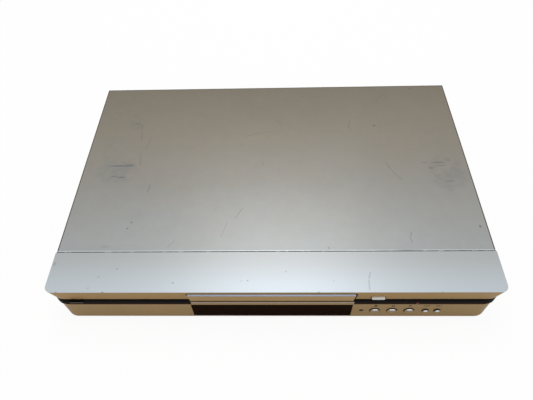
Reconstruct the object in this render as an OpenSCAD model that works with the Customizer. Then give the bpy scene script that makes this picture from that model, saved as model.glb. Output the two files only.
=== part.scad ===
// Disc player with a motor-driven tray: case, fascia, loader, traverse, boards and rear sockets.
// Frame: +Z up, front towards -Y, +X to the right seen from the front.
// Origin: under the middle of the bounding box, on the surface that the feet stand on. Millimetres.

/* [Case] */
// Width of the fascia, the widest part of the player
body_w = 430; // [420:1:440]
// Height of the case from its underside to its top
body_h = 45; // [45:0.5:50]
// Depth of the steel cover behind the fascia
cover_d = 240; // [232:1:280]
// Depth of the fascia's top, from the front lip back to the seam
fascia_d = 42.5; // [38:0.5:50]
// Thickness of the moulded walls
wall_t = 2.6; // [2.4:0.1:2.8]
// Thickness of the sheet steel
steel_t = 0.8; // [0.6:0.1:1]
// How far each side of the steel cover stands inside the fascia's
cover_in = 0.5; // [0.5:0.1:1.5]
// Height of the feet
foot_h = 6; // [5:0.5:12]
// Diameter of a foot
foot_d = 28; // [20:1:36]
// Distance of the front feet behind the lip
foot_front_in = 62; // [56:1:70]
// Distance of the rear feet ahead of the cover's rear edge
foot_rear_in = 40; // [30:1:60]
// Distance of each foot's centre from the side
foot_side_in = 50; // [40:1:65]

/* [Fascia] */
// Height of the light upper band's bottom edge above the underside
upper_edge = 31.4; // [30.5:0.1:32]
// Height of the light lower band's top edge above the underside
lower_edge = 26; // [25.6:0.1:26.6]
// How far the upper band's bottom edge stands ahead of the lip
upper_out = 0.5; // [0.2:0.1:1]
// How far the lower band's top edge stands ahead of the lip
lower_out = 3.6; // [3:0.1:4]
// How far the foot of the face stands ahead of the lip
face_lean = 5; // [4.4:0.1:6]
// Plan radius of the corners at the lip
lip_r = 7; // [5:0.5:9]
// Plan radius of the corners at the dark trim
trim_r = 14.5; // [13:0.5:16]
// How far the sides stand in at the dark trim's lower edge
trim_in = 4; // [3.5:0.25:4.5]
// Plan radius of the corners at the dark trim's lower edge
trim_foot_r = 12; // [11:0.5:13]
// Plan radius of the corners of the lower band
lower_r = 13; // [11:0.5:15]
// How far the sides of the lower band stand in
lower_in = 5.5; // [5:0.25:6]
// Thickness of the dark trim
trim_t = 1.5; // [1.2:0.1:1.6]
// How far the dark trim lies below the bands
trim_sunk = 0.3; // [0.1:0.1:0.5]
// Width of the display window
window_w = 154.4; // [140:0.2:156]
// Height of the display window
window_h = 23.8; // [20:0.2:24]
// Height of the display window's lower edge above the underside
window_z = 1.2; // [0.8:0.1:1.4]
// How far the display window lies below the lower band
window_sunk = 0.2; // [0.1:0.1:0.5]
// Diameter of the three large round buttons
large_d = 8.8; // [8:0.1:9.4]
// Diameter of the two small round buttons
small_d = 5.4; // [4.6:0.1:6]
// Gap around a round button in its hole
button_gap = 0.8; // [0.5:0.05:0.9]
// How far a round button's dome stands out
dome_h = 1.9; // [1.5:0.1:2.5]
// Travel of every button
button_travel = 0.8; // [0.5:0.1:0.9]
// Height of the round buttons' centres above the underside
button_z = 12.9; // [12:0.1:13.5]
// Distance of the first large round button from the display window
large_in = 22; // [20:0.1:23]
// Distance between the large round buttons
large_pitch = 16.4; // [15:0.1:17]
// Distance of the first small round button from the display window
small_in = 70.3; // [69:0.1:72]
// Distance between the small round buttons
small_pitch = 11.3; // [10:0.1:13]
// Width of the tray's key and of the power key
key_w = 13; // [11:0.1:13.5]
// Height of those two keys
key_h = 2.2; // [1.8:0.1:2.6]
// How far those two keys stand out
key_out = 2.1; // [1.5:0.1:2.5]
// Distance of the tray's key from the display window
tray_key_in = 22.6; // [21:0.1:25]
// Height of the tray key's centre above the underside
tray_key_z = 34.6; // [34.4:0.1:36]
// Distance of the power key's centre from the side
power_key_in = 26.3; // [25:0.1:35]
// Diameter of the remote control's receiving window
eye_d = 4; // [3:0.1:5]
// Distance of that window from the display window
eye_in = 9.3; // [8.5:0.1:10]
// Distance of the standby lamp from the display window
lamp_in = 60.1; // [55:0.1:64]

/* [Tray] */
// Centre line of the tray, the loader and the display
tray_x = -1.6; // [-3:0.1:0]
// Travel of the tray
tray_travel = 142; // [135:1:143]
// Width of the tray over its side flanges
tray_w = 142; // [140:1:143]
// Length of the tray
tray_len = 180; // [178:1:184]
// Thickness of the tray's floor
tray_floor_t = 1.6; // [1.4:0.1:1.8]
// Diameter of the disc's seat
seat_d = 123; // [121:0.5:124]
// Depth of the disc's seat
seat_depth = 4.4; // [4.2:0.1:4.6]
// Diameter of the small disc's seat
small_seat_d = 82; // [81:0.5:84]
// Distance from the tray's front end back to the disc's centre
disc_in = 79.5; // [78:0.5:80]
// Width of the slot for the turntable and the pickup
slot_w = 34; // [32:0.5:36]
// Width of the door at its top
door_w = 156.6; // [150:0.2:158]
// How much narrower the door is at its bottom
door_taper = 2.6; // [1:0.2:4]
// Height of the door
door_h = 11.5; // [11:0.1:11.8]
// Height of the door's top edge above the underside
door_z = 41.4; // [41:0.1:42]
// How far the tray's rim lies below the door's top edge
rim_drop = 2.4; // [2:0.1:2.6]
// How far the door's face stands ahead of the lip
door_out = 2.2; // [1.8:0.1:2.8]
// Gap at each end of the door
door_gap = 0.8; // [0.5:0.1:1.2]
// Running gap around sliding mouldings
run_gap = 0.3; // [0.25:0.05:0.4]

/* [Drive] */
// Module of the rack and the pinion
rack_m = 1; // [0.9:0.05:1]
// Teeth of the pinion that drives the tray
pinion_teeth = 16; // [15:1:17]
// Module of the reduction gears
step_m = 0.6; // [0.5:0.05:0.6]
// Teeth of the large reduction gear
wheel_teeth = 48; // [44:1:50]
// Teeth of the small reduction gear
small_teeth = 16; // [15:1:18]
// Diameter of the large belt pulley's groove
pulley_d = 24; // [20:0.5:25]
// Diameter of the motor pulley's groove
motor_pulley_d = 8; // [7:0.5:9]
// Distance between the two pulleys
belt_span = 34; // [30:1:38]
// Thickness of the belt
belt_t = 1.2; // [1:0.1:1.4]
// Height of the belt pulleys
pulley_h = 4; // [3.6:0.2:4.4]
// Face width of the reduction gears
gear_h = 2.5; // [2:0.1:2.6]
// Diameter of the loading motor
motor_d = 23; // [20:0.5:24]
// Diameter of the gears' and pulleys' pins
pin_d = 3; // [2.5:0.1:3]
// Radial play of whatever turns on a pin
pin_play = 0.05; // [0.03:0.01:0.08]

/* [Traverse] */
// Angle by which the lifting frame is lowered while the tray may move
drop_deg = 4.5; // [4:0.1:4.6]
// Distance from the spindle back to the lifting frame's pivot
pivot_in = 92; // [90:1:94]
// Diameter of the lifting frame's trunnions
trunnion_d = 4; // [3:0.5:5]
// Travel of the cam slider
cam_travel = 14; // [12:0.5:16]
// Thickness of the steel deck
deck_t = 1.2; // [1:0.1:1.5]
// Diameter of the spindle motor
spindle_d = 25; // [22:0.5:27]
// Diameter of the turntable
turntable_d = 29; // [26:0.5:30]
// Distance of the lens from the spindle at the innermost track
lens_in = 23; // [22.5:0.1:24]
// Travel of the pickup
pickup_travel = 35.5; // [33:0.5:36]
// Diameter of the guide rods
rod_d = 3; // [2.5:0.1:3.2]
// Distance of each guide rod from the centre line
rod_x = 25; // [24:0.5:26]
// Diameter of the feed screw
screw_d = 3; // [2.4:0.1:3.2]
// Diameter of the clamper
clamper_d = 30; // [26:0.5:34]

/* [Rear] */
// Diameter of a phono jack's shell
jack_d = 8.3; // [8:0.05:8.5]
// Diameter of the hole in a phono jack's insert
jack_hole_d = 3.3; // [3.2:0.05:3.5]
// How far the phono jacks stand out of the rear panel
jack_out = 9; // [8:0.5:10]
// Distance between neighbouring phono jacks
jack_pitch = 14; // [13.5:0.5:15]
// Distance of the block of phono jacks' centre from the main board's inner edge
jack_in = 42.2; // [37:0.1:48]
// Distance of the S-video socket's centre from that edge
svideo_in = 7.8; // [7:0.1:10]
// Distance of the mains inlet's centre from the side
inlet_side = 43; // [39:1:49]
// Distance between the mains inlet's pins
inlet_pitch = 8.6; // [8.4:0.1:8.8]
// Height of the lower row of phono jacks above the underside
jack_z_low = 15; // [14.5:0.5:16]
// Height of the upper row of phono jacks above the underside
jack_z_high = 29; // [28:0.5:29]
// Height of the mains inlet's centre above the underside
inlet_height = 16; // [15.5:0.5:20]

/* [Boards] */
// Depth of the power board
power_d = 165; // [155:1:180]
// Distance of the boards' outer edges from the side
board_side = 8; // [7:0.5:12]
// Gap between the boards and the feet of the loader
board_gap = 2.4; // [2:0.2:4]
// Depth of the main board
main_d = 152; // [140:1:170]
// Height of the boards above the chassis floor
board_lift = 5; // [4.5:0.5:6]
// Thickness of the circuit boards
pcb_t = 1.6; // [1.2:0.2:1.6]
// Width of the display tube
tube_w = 96; // [80:1:110]
// Height of the display tube
tube_h = 17; // [15:0.5:18]

/* [Hidden] */
$fn = 48;
eps = 0.01;
fit = 0.15;

// How far the face stands ahead of the lip at a height above the underside
function face_out(h) = h >= upper_edge
    ? upper_out * (body_h - h) / (body_h - upper_edge)
    : h >= lower_edge
        ? upper_out + (lower_out - upper_out) * (upper_edge - h) / (upper_edge - lower_edge)
        : lower_out + (face_lean - lower_out) * (lower_edge - h) / lower_edge;

// Heights of the case
z_base = foot_h;
z_top = foot_h + body_h;
z_floor = z_base + steel_t;
z_roof = z_top - steel_t;
z_key = z_base + tray_key_z;
z_power = z_base + (upper_edge + lower_edge) / 2;
z_window = z_base + window_z;
z_tube = z_window + (window_h - tube_h) / 2;
z_button = z_base + button_z;

// Depths of the case
half_w = body_w / 2;
cover_half = half_w - cover_in;
panel_in = 1.2;
front_reach = face_out(button_z) + dome_h;
overall_d = front_reach + fascia_d + cover_d - panel_in + jack_out;
y_lip = -overall_d / 2 + front_reach;
y_seam = y_lip + fascia_d;
y_rear = y_seam + cover_d;
y_panel = y_rear - panel_in;
y_wall_low = y_lip - lower_out + wall_t;
y_wall = y_lip + wall_t;
board_in = 6.6;
y_board = y_lip + board_in;
window_t = 1.3;
y_out = y_lip - face_lean - 4;

// Places across the fascia
window_right = tray_x + window_w / 2;
large_x = window_right + large_in;
small_x = window_right + small_in;
tray_key_x = window_right + tray_key_in;
eye_x = window_right + eye_in;
lamp_x = window_right + lamp_in;
power_key_x = -half_w + power_key_in;

// Flanges that keep buttons and windows behind the wall
flange_back = 1.3;
flange_lap = 1;

// Door and tray
door_top = z_base + door_z;
door_bottom = door_top - door_h;
ledge_top = door_bottom - run_gap;
tongue_left = tray_x - door_w / 2 + 1.9;
tongue_right = tray_x + door_w / 2 - 0.4;
y_door_back = y_lip + 0.6;
y_tray = y_door_back + 1.7;
tray_top = door_top - rim_drop;
seat_floor = tray_top - seat_depth;
small_floor = seat_floor - tray_floor_t;
tray_under = small_floor - tray_floor_t;
rack_under = tray_under - 0.5;
flange_t = 2;
flange_w = 4.5;
rim_half = tray_w / 2 - flange_w;
y_disc = y_tray + disc_in;

// Loader
y_load = y_lip + 9;
load_d = 178;
guide_half = tray_w / 2 + 0.4;
load_wall = 2.6;
load_half = guide_half + load_wall;
z_load = z_floor + 2.2;
load_floor_t = 2;
load_foot_t = 2.4;
load_pad = 6;
load_post_x = load_half + 5;
load_hole_d = 3.2;
deck_floor_t = 2;
gear_stack = 11.4;
deck_top = tray_under - gear_stack;
pin_top = tray_under - 0.4;
motor_nose_d = 6;
z_gear = deck_top + 1;
z_pulley = z_gear + gear_h + 0.5;
pulley_top = z_pulley + pulley_h;
pinion_r = rack_m * pinion_teeth / 2;
rack_x = tray_x - rim_half + 4;
gear_x = rack_x + pinion_r;
gear_y = y_load + 17;
step_span = step_m * (wheel_teeth + small_teeth) / 2;
pulley_x = gear_x + step_span;
motor_x = pulley_x + belt_span;
backlash = 0.16;

// Traverse, drawn level and then lowered about its pivot
y_pivot = y_disc + pivot_in;
z_pivot = deck_top + 2;
screw_x = -29;
frame_bar = 10;
half_hole = 7 - screw_x;
frame_half = half_hole + frame_bar;
y_frame = y_disc - 26;
z_frame = z_pivot - 6;
frame_h = 5;
damper_h = 3.3;
z_deck = z_frame + frame_h + damper_h;
deck_back = pivot_in - 4;
z_rod = z_deck + 3.1;
disc_level = tray_top - 1.2;
peg_z = z_frame + 3.6;
screw_z = z_frame + 2;

// Rear sockets and boards
z_board = z_floor + board_lift;
z_part = z_board + pcb_t;
jack_z = [z_base + jack_z_low, z_base + jack_z_high];
inlet_z = z_base + inlet_height;
svideo_d = 11;
inlet_x = -half_w + inlet_side;
inlet_half_w = 10.7;
inlet_half_h = 7.2;
board_rear = 7.25;
load_side = load_post_x + load_pad + board_gap;
power_w = half_w - board_side + tray_x - load_side;
main_w = half_w - board_side - tray_x - load_side;
power_at = [-half_w + board_side, y_panel - board_rear - power_d];
main_at = [half_w - board_side - main_w, y_panel - board_rear - main_d];
jack_x = main_at[0] + jack_in;
svideo_x = main_at[0] - svideo_in;
post_in = 6;
power_posts = posts_of(power_at, power_w, power_d);
main_posts = posts_of(main_at, main_w, main_d);

// Screw posts near the four corners of a board
function posts_of(at, w, d) = [for (x = [post_in, w - post_in], y = [post_in, d - post_in]) at + [x, y]];

module lowered() {
    translate([0, y_pivot, z_pivot]) rotate([drop_deg, 0, 0]) translate([0, -y_pivot, -z_pivot]) children();
}

// Plan of the fascia: front corners rounded, rear end square
module plan(half, front, r, back = y_seam) {
    translate([-half, front + r]) square([2 * half, back - front - r]);
    translate([-half + r, front]) square([2 * (half - r), r + 1]);
    for (s = [-1, 1]) translate([s * (half - r), front + r]) circle(r, $fn = 32);
}

// Solid between two plans at two heights
module loft(z0, half0, front0, r0, z1, half1, front1, r1) {
    hull() {
        translate([0, 0, z0]) linear_extrude(eps) plan(half0, front0, r0);
        translate([0, 0, z1 - eps]) linear_extrude(eps) plan(half1, front1, r1);
    }
}

// Half width, front and corner radius of the zone between the two light bands, at a height
function zone_part(h) = (h - lower_edge) / (upper_edge - lower_edge);
function zone_half(h) = half_w - trim_in * (1 - zone_part(h));
function zone_front(h) = y_lip - lower_out + (lower_out - upper_out) * zone_part(h);
function zone_r(h) = trim_foot_r + (trim_r - trim_foot_r) * zone_part(h);

// Solid of that zone between two heights, set in by a distance
module zone(inset, h0, h1) {
    loft(z_base + h0, zone_half(h0) - inset, zone_front(h0) + inset, zone_r(h0) - inset,
         z_base + h1, zone_half(h1) - inset, zone_front(h1) + inset, zone_r(h1) - inset);
}

// Tapered outline of the door, grown by a distance
module door_outline(grow_x = 0, grow_z = 0) {
    top = door_w / 2 + grow_x;
    bottom = (door_w - door_taper) / 2 + grow_x;
    translate([tray_x, 0]) polygon([
        [-bottom, door_bottom - grow_z],
        [bottom, door_bottom - grow_z],
        [top, door_top + grow_z],
        [-top, door_top + grow_z]
    ]);
}

// Turns an outline drawn in X and Z into a plate from y0 to y1
module plate_y(y0, y1) {
    translate([0, y1, 0]) rotate([90, 0, 0]) linear_extrude(y1 - y0) children();
}

module box_at(p0, p1) {
    translate(p0) cube(p1 - p0);
}

// Round hole or rod along Y
module rod_y(x, z, d, y0, y1) {
    translate([x, y0, z]) rotate([-90, 0, 0]) cylinder(d = d, h = y1 - y0);
}

// Spots of the round buttons
function large_at(i) = large_x + i * large_pitch;
function small_at(i) = small_x + i * small_pitch;

module front_panel() {
    color([0.56, 0.47, 0.34]) difference() {
        union() {
            loft(z_base + upper_edge, half_w, y_lip - upper_out, trim_r, z_top, half_w, y_lip, lip_r);
            zone(trim_sunk + trim_t + fit, lower_edge - 0.5, upper_edge + 0.5);
            loft(z_base, half_w - lower_in, y_lip - face_lean, lower_r,
                 z_base + lower_edge, half_w - lower_in, y_lip - lower_out, lower_r);
            // Tongue of the lower band under the door
            box_at([tongue_left, y_lip - lower_out, z_base + lower_edge - 1],
                   [tongue_right, y_wall, ledge_top]);
        }
        // Hollow behind the three zones
        translate([0, 0, z_base + upper_edge])
            linear_extrude(body_h - upper_edge - wall_t)
                plan(half_w - wall_t, y_wall, trim_r - wall_t, y_seam + 1);
        translate([0, 0, z_base + lower_edge - 2.5])
            linear_extrude(upper_edge - lower_edge + 3)
                plan(half_w - lower_in - wall_t - 0.8, y_wall, lower_r - wall_t, y_seam + 1);
        translate([0, 0, z_base - 1])
            linear_extrude(lower_edge - 1)
                plan(half_w - lower_in - wall_t, y_wall_low, lower_r - wall_t, y_seam + 1);
        // Openings in the face
        plate_y(y_out, y_wall + 1) door_outline(door_gap, run_gap);
        box_at([tray_x - window_w / 2 - fit, y_out, z_window - fit],
               [tray_x + window_w / 2 + fit, y_wall_low - window_t, z_window + window_h + fit]);
        box_at([tray_x - tube_w / 2 - 2, y_out, z_tube + 0.5],
               [tray_x + tube_w / 2 + 2, y_wall_low + 1, z_tube + tube_h - 0.5]);
        for (i = [0 : 2]) rod_y(large_at(i), z_button, large_d + 2 * button_gap, y_out, y_wall);
        for (i = [0 : 1]) rod_y(small_at(i), z_button, small_d + 2 * button_gap, y_out, y_wall);
        rod_y(eye_x, z_button, eye_d + 2 * fit, y_out, y_wall);
        key_slot(tray_key_x, z_key);
        key_slot(power_key_x, z_power);
        lamp_bar(fit);
    }
}

module key_slot(x, z) {
    box_at([x - key_w / 2 - button_gap, y_out, z - key_h / 2 - run_gap],
           [x + key_w / 2 + button_gap, y_wall + 1, z + key_h / 2 + run_gap]);
}

// Light guide of the standby lamp, or its hole
module lamp_bar(grow) {
    lamp_half = 1.5;
    lamp_z = z_base + lower_edge + 0.4;
    lamp_h = 1.4;
    box_at([lamp_x - lamp_half - grow, y_lip - lower_out + 0.2 - 4 * grow, lamp_z - grow],
           [lamp_x + lamp_half + grow, y_wall + 1, lamp_z + lamp_h + grow]);
}

module trim_band() {
    trim_gap = 0.2;
    difference() {
        zone(trim_sunk, lower_edge + fit, upper_edge - fit);
        zone(trim_sunk + trim_t, lower_edge - 1, upper_edge + 1);
        box_at([tongue_left - trim_gap, y_out, z_base], [tongue_right + trim_gap, y_seam, z_top]);
        plate_y(y_out, y_seam) door_outline(door_gap, run_gap);
        key_slot(power_key_x, z_power);
        lamp_bar(fit);
    }
}

module left_trim() {
    color([0.05, 0.05, 0.05]) difference() {
        trim_band();
        box_at([0, y_out, z_base], [half_w, y_seam + 1, z_top]);
    }
}

module right_trim() {
    color([0.05, 0.05, 0.05]) difference() {
        trim_band();
        box_at([-half_w, y_out, z_base], [0, y_seam + 1, z_top]);
    }
}

module display_window() {
    low = window_z;
    high = low + window_h;
    back = y_wall_low - window_t - fit;
    color([0.1, 0.07, 0.05])
        translate([tray_x - window_w / 2, 0, z_base]) rotate([90, 0, 90]) linear_extrude(window_w)
            polygon([
                [y_lip - face_out(low) + window_sunk, low],
                [back, low],
                [back, high],
                [y_lip - face_out(high) + window_sunk, high]
            ]);
}

module remote_window() {
    color([0.08, 0.07, 0.07])
        rod_y(eye_x, z_button, eye_d, y_lip - face_out(button_z) + 0.4, y_wall_low + 0.5);
}

module standby_lamp() {
    color([0.7, 0.1, 0.05]) lamp_bar(0);
}

// Round button: domed cap, and a flange that keeps it behind the wall
module round_button(x, d) {
    face = y_lip - face_out(button_z);
    ball_r = (d * d / 4 + dome_h * dome_h) / (2 * dome_h) + 2;
    color([0.72, 0.73, 0.74]) {
        intersection() {
            rod_y(x, z_button, d, face - dome_h, y_wall_low + run_gap + eps);
            translate([x, face - dome_h + ball_r, z_button]) sphere(ball_r);
        }
        rod_y(x, z_button, d + 2 * (button_gap + flange_lap), y_wall_low + run_gap, y_wall_low + flange_back);
    }
}

// Bar-shaped key with a flange that keeps it behind the wall
module bar_key(x, z, out) {
    half_flange = key_w / 2 + button_gap + flange_lap;
    flange_z = key_h / 2 + run_gap + flange_lap;
    box_at([x - key_w / 2, y_lip - out, z - key_h / 2],
           [x + key_w / 2, y_wall + run_gap + eps, z + key_h / 2]);
    box_at([x - half_flange, y_wall + run_gap, z - flange_z],
           [x + half_flange, y_wall + flange_back, z + flange_z]);
}

module power_button() {
    color([0.12, 0.11, 0.11]) bar_key(power_key_x, z_power, face_out(z_power - z_base) + 1);
}

module open_button() {
    color([0.75, 0.76, 0.77]) bar_key(tray_key_x, z_key, face_out(tray_key_z) + key_out);
}

module stop_button() {
    round_button(large_at(0), large_d);
}

module pause_button() {
    round_button(large_at(1), large_d);
}

module play_button() {
    round_button(large_at(2), large_d);
}

module skip_back_button() {
    round_button(small_at(0), small_d);
}

module skip_forward_button() {
    round_button(small_at(1), small_d);
}

// Screws that hold the cover: two through each side, four through its rear lip
cover_screw_y = [y_seam + 30, y_rear - 30];
cover_screw_z = z_base + 7;
cover_screw_span = body_w - 50;
cover_screw_x = [for (t = [-1 / 2, -1 / 6, 1 / 6, 1 / 2]) t * cover_screw_span];
cover_lip_z = z_top - 9;
rear_screw_z = cover_lip_z + 4;
screw_hole_d = 3.4;
screw_pilot_d = 2.9;
screw_shank_d = 2.8;
screw_head_d = 6.5;
screw_head_h = 1.6;

// Gap under the cover's sides, above the chassis's underside
cover_rise = 0.3;

module top_cover() {
    color([0.55, 0.54, 0.52]) difference() {
        union() {
            box_at([-cover_half, y_seam, z_roof], [cover_half, y_rear, z_top]);
            for (s = [-1, 1])
                box_at([s > 0 ? cover_half - steel_t : -cover_half, y_seam, z_base + cover_rise],
                       [s > 0 ? cover_half : -cover_half + steel_t, y_rear, z_top]);
            box_at([-cover_half, y_rear - steel_t, cover_lip_z], [cover_half, y_rear, z_top]);
        }
        for (x = cover_screw_x) rod_y(x, rear_screw_z, screw_hole_d, y_rear - 3, y_rear + 1);
        for (y = cover_screw_y) rod_x(0, y, cover_screw_z, screw_hole_d, body_w);
    }
}

// A pan-head screw along -Z from the origin, its head above
module screw(head_d, head_h, shank_d, length) {
    cylinder(d = head_d, h = head_h);
    translate([0, 0, -length]) cylinder(d = shank_d, h = length + eps);
}

module cover_screws() {
    color([0.2, 0.2, 0.2]) {
        for (x = cover_screw_x) translate([x, y_rear, rear_screw_z]) rotate([-90, 0, 0])
            screw(screw_head_d, screw_head_h, screw_shank_d, y_rear - y_panel + steel_t + 0.6);
        for (s = [-1, 1], y = cover_screw_y) translate([s * cover_half, y, cover_screw_z])
            rotate([0, s * 90, 0]) screw(screw_head_d, cover_in, screw_shank_d, 2 * steel_t + run_gap);
    }
}

// Places of the feet
foot_spots = [for (s = [-1, 1], y = [y_lip + foot_front_in, y_rear - foot_rear_in])
    [s * (half_w - foot_side_in), y]];
foot_pin_d = 3.6;

// Places of the loader's four mounting bosses, and of the boards' posts
load_post_y = [y_load + 8, y_load + load_d - 12];
load_posts = [for (s = [-1, 1], y = load_post_y) [tray_x + s * load_post_x, y]];
board_posts = concat(power_posts, main_posts);

module bottom_chassis() {
    chassis_half = cover_half - steel_t - run_gap;
    front_half = half_w - lower_in - wall_t - run_gap;
    side_back = y_panel - steel_t - run_gap;
    side_h = 12;
    slot_pitch = 8;
    slot_h = 3;
    color([0.62, 0.63, 0.63]) difference() {
        union() {
            translate([0, 0, z_base]) linear_extrude(steel_t)
                plan(front_half, y_wall_low + run_gap, lower_r - wall_t, y_seam + 1);
            box_at([-chassis_half, y_seam + run_gap, z_base], [chassis_half, y_panel, z_floor]);
            for (s = [-1, 1])
                box_at([s > 0 ? chassis_half - steel_t : -chassis_half, y_seam + run_gap, z_base],
                       [s > 0 ? chassis_half : -chassis_half + steel_t, side_back, z_base + side_h]);
            for (p = load_posts) translate([p[0], p[1], z_base]) cylinder(d = 8, h = z_load - z_base);
            for (p = board_posts) translate([p[0], p[1], z_base]) cylinder(d = 6, h = z_board - z_base);
        }
        for (p = concat(load_posts, board_posts)) translate([p[0], p[1], z_base - 1])
            cylinder(d = screw_shank_d, h = z_board - z_base + 2);
        for (p = foot_spots) translate([p[0], p[1], z_base - 1]) cylinder(d = foot_pin_d + 0.6, h = 3);
        // Cooling slots under the power board
        for (i = [0 : 9]) translate([power_at[0] + 17, power_at[1] + 36 + i * slot_pitch, z_base - 1])
            cube([60, slot_h, steel_t + 2]);
        for (y = cover_screw_y) rod_x(0, y, cover_screw_z, screw_pilot_d, body_w);
    }
}

module rear_panel() {
    color([0.62, 0.63, 0.63]) difference() {
        box_at([-cover_half + steel_t + run_gap, y_panel - steel_t, z_floor],
               [cover_half - steel_t - run_gap, y_panel, z_roof - run_gap]);
        box_at([jack_x - 2 * jack_pitch, y_panel - 3, z_part - run_gap],
               [jack_x + 2 * jack_pitch, y_panel + 1, jack_z[1] + 7]);
        box_at([inlet_x - inlet_half_w - run_gap, y_panel - 3, inlet_z - inlet_half_h - run_gap],
               [inlet_x + inlet_half_w + run_gap, y_panel + 1, inlet_z + inlet_half_h + run_gap]);
        rod_y(svideo_x, jack_z[0], svideo_d + 0.4, y_panel - 3, y_panel + 1);
        for (x = cover_screw_x) rod_y(x, rear_screw_z, screw_pilot_d, y_panel - 3, y_panel + 1);
        // Cooling slots beside the mains inlet
        for (i = [0 : 11]) translate([inlet_x + 32 + i * 5, y_panel - 3, z_floor + 8])
            cube([2, 4, body_h - steel_t - 22]);
    }
}

pad_h = 2;
pad_out = 1;

module feet() {
    color([0.1, 0.1, 0.1]) for (p = foot_spots) translate([p[0], p[1], 0]) {
        difference() {
            translate([0, 0, pad_out]) cylinder(d1 = foot_d - 3, d2 = foot_d, h = foot_h - pad_out);
            translate([0, 0, pad_out - 1]) cylinder(d = foot_d - 8, h = pad_h - pad_out + 1);
        }
        translate([0, 0, foot_h - eps]) cylinder(d = foot_pin_d, h = steel_t + 1.2);
    }
}

module foot_pads() {
    color([0.18, 0.18, 0.18]) for (p = foot_spots) translate([p[0], p[1], 0])
        cylinder(d = foot_d - 8 - 2 * run_gap, h = pad_h);
}

// Circuit board with holes for its screws
module board(at, w, d, holes) {
    difference() {
        translate([at[0], at[1], z_board]) cube([w, d, pcb_t]);
        for (p = holes) translate([p[0], p[1], z_board - 1]) cylinder(d = 3.2, h = pcb_t + 2);
    }
}

module front_board() {
    half = half_w - 16;
    back = y_board + pcb_t;
    door_space = door_w / 2 + 5.7;
    low_edge = z_base + lower_edge + 1;
    color([0.1, 0.35, 0.15]) {
        box_at([-half, y_board, z_floor + 1], [half, back, low_edge]);
        box_at([-half, y_board, low_edge - 1], [tray_x - door_space, back, z_key + 5.4]);
        box_at([tray_x + door_space, y_board, low_edge - 1], [half, back, z_key + 5.4]);
        // Ribs that stand it on the chassis floor
        for (x = [-150, -90, 90, 170]) box_at([x - 1, back - eps, z_floor], [x + 1, back + 6, z_base + 14]);
    }
}

module display_tube() {
    color([0.25, 0.3, 0.3]) {
        box_at([tray_x - tube_w / 2, y_wall_low + 1.3, z_tube],
               [tray_x + tube_w / 2, y_board, z_tube + tube_h]);
        // Sealed-off tip of the glass
        box_at([tray_x + tube_w / 2 - eps, y_board - 3, z_tube + 6.5],
               [tray_x + tube_w / 2 + 4, y_board, z_tube + 10.5]);
    }
}

// Push switch on the front board: body, and a plunger towards the button
module key_switch(x, z, tip) {
    box_at([x - 3, min(tip + 1.4, y_board - 1.2), z - 3], [x + 3, y_board, z + 3]);
    rod_y(x, z, 2.6, tip, y_board - 1);
}

module key_switches() {
    low_tip = y_wall_low + flange_back + button_travel + 0.3;
    high_tip = y_wall + flange_back + button_travel + 0.2;
    color([0.15, 0.15, 0.15]) {
        for (i = [0 : 2]) key_switch(large_at(i), z_button, low_tip);
        for (i = [0 : 1]) key_switch(small_at(i), z_button, low_tip);
        key_switch(tray_key_x, z_key, high_tip);
        key_switch(power_key_x, z_power, high_tip);
        // Receiver of the remote control
        box_at([eye_x - 2.8, y_wall_low + 0.8, z_button - 3], [eye_x + 2.8, y_board, z_button + 4]);
    }
}

module loader_frame() {
    back = y_load + load_d;
    inner = guide_half + eps;
    ear_in = frame_half + 1.7;
    ear_t = 4;
    ledge_t = 2;
    z_ledge = tray_under - run_gap;
    z_tab = tray_under + flange_t + run_gap;
    color([0.12, 0.12, 0.13]) difference() {
        union() {
            for (s = [-1, 1]) translate([tray_x, 0, 0]) mirror([s > 0 ? 0 : 1, 0, 0]) {
                box_at([guide_half, y_load, z_load], [load_half, back, tray_top + 1]);
                box_at([guide_half, y_disc - bridge_half - 2, tray_top],
                       [load_half, y_disc + bridge_half + 2, bridge_z]);
                // Ledge under the tray's flange and tabs above it
                box_at([rim_half + 0.1, y_load, z_ledge - ledge_t], [guide_half + eps, back, z_ledge]);
                for (y = [y_load + 2, y_load + 52])
                    box_at([rim_half + 0.7, y, z_tab], [guide_half + eps, y + 12, z_tab + 1.5]);
                // Ear for the lifting frame's trunnion
                box_at([ear_in, y_pivot - 5, z_load + eps], [ear_in + ear_t, y_pivot + 5, z_pivot + 5]);
                // Feet of the frame
                for (y = load_post_y)
                    box_at([load_half - eps, y - load_pad, z_load],
                           [load_post_x + load_pad, y + load_pad, z_load + load_foot_t]);
            }
            translate([tray_x, 0, 0]) {
                // Front floor, rear floor, rear wall, motor deck and the wall ahead of it
                box_at([-inner, y_load, z_load], [inner, y_load + 48, z_load + load_floor_t]);
                box_at([-inner, back - 20, z_load], [inner, back, z_load + load_floor_t]);
                box_at([-inner, back - load_wall, z_load], [inner, back, z_pivot + 4]);
                box_at([-inner, y_load, deck_top - deck_floor_t], [inner, y_load + 36, deck_top]);
                box_at([-inner, y_load, z_load], [inner, y_load + 2, deck_top]);
                // Guide rails of the cam slider
                for (y = [cam_y - 2 - run_gap, cam_y + cam_t + run_gap])
                    box_at([-52, y, z_load + load_floor_t - eps], [44, y + 2, z_load + load_floor_t + 2]);
            }
            for (pin = [[gear_x, pin_top], [pulley_x, pulley_top + 0.6]])
                translate([pin[0], gear_y, deck_top - eps]) cylinder(d = pin_d, h = pin[1] - deck_top);
        }
        for (s = [-1, 1])
            rod_x(tray_x + s * (ear_in + ear_t / 2), y_pivot, z_pivot, trunnion_d + 2 * pin_play, 2 * ear_t);
        translate([motor_x, gear_y, deck_top - deck_floor_t - 1])
            cylinder(d = motor_nose_d + 2 * run_gap, h = deck_floor_t + 2);
        for (p = load_posts) translate([p[0], p[1], z_load - 1])
            cylinder(d = load_hole_d, h = load_foot_t + 2);
    }
}

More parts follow.
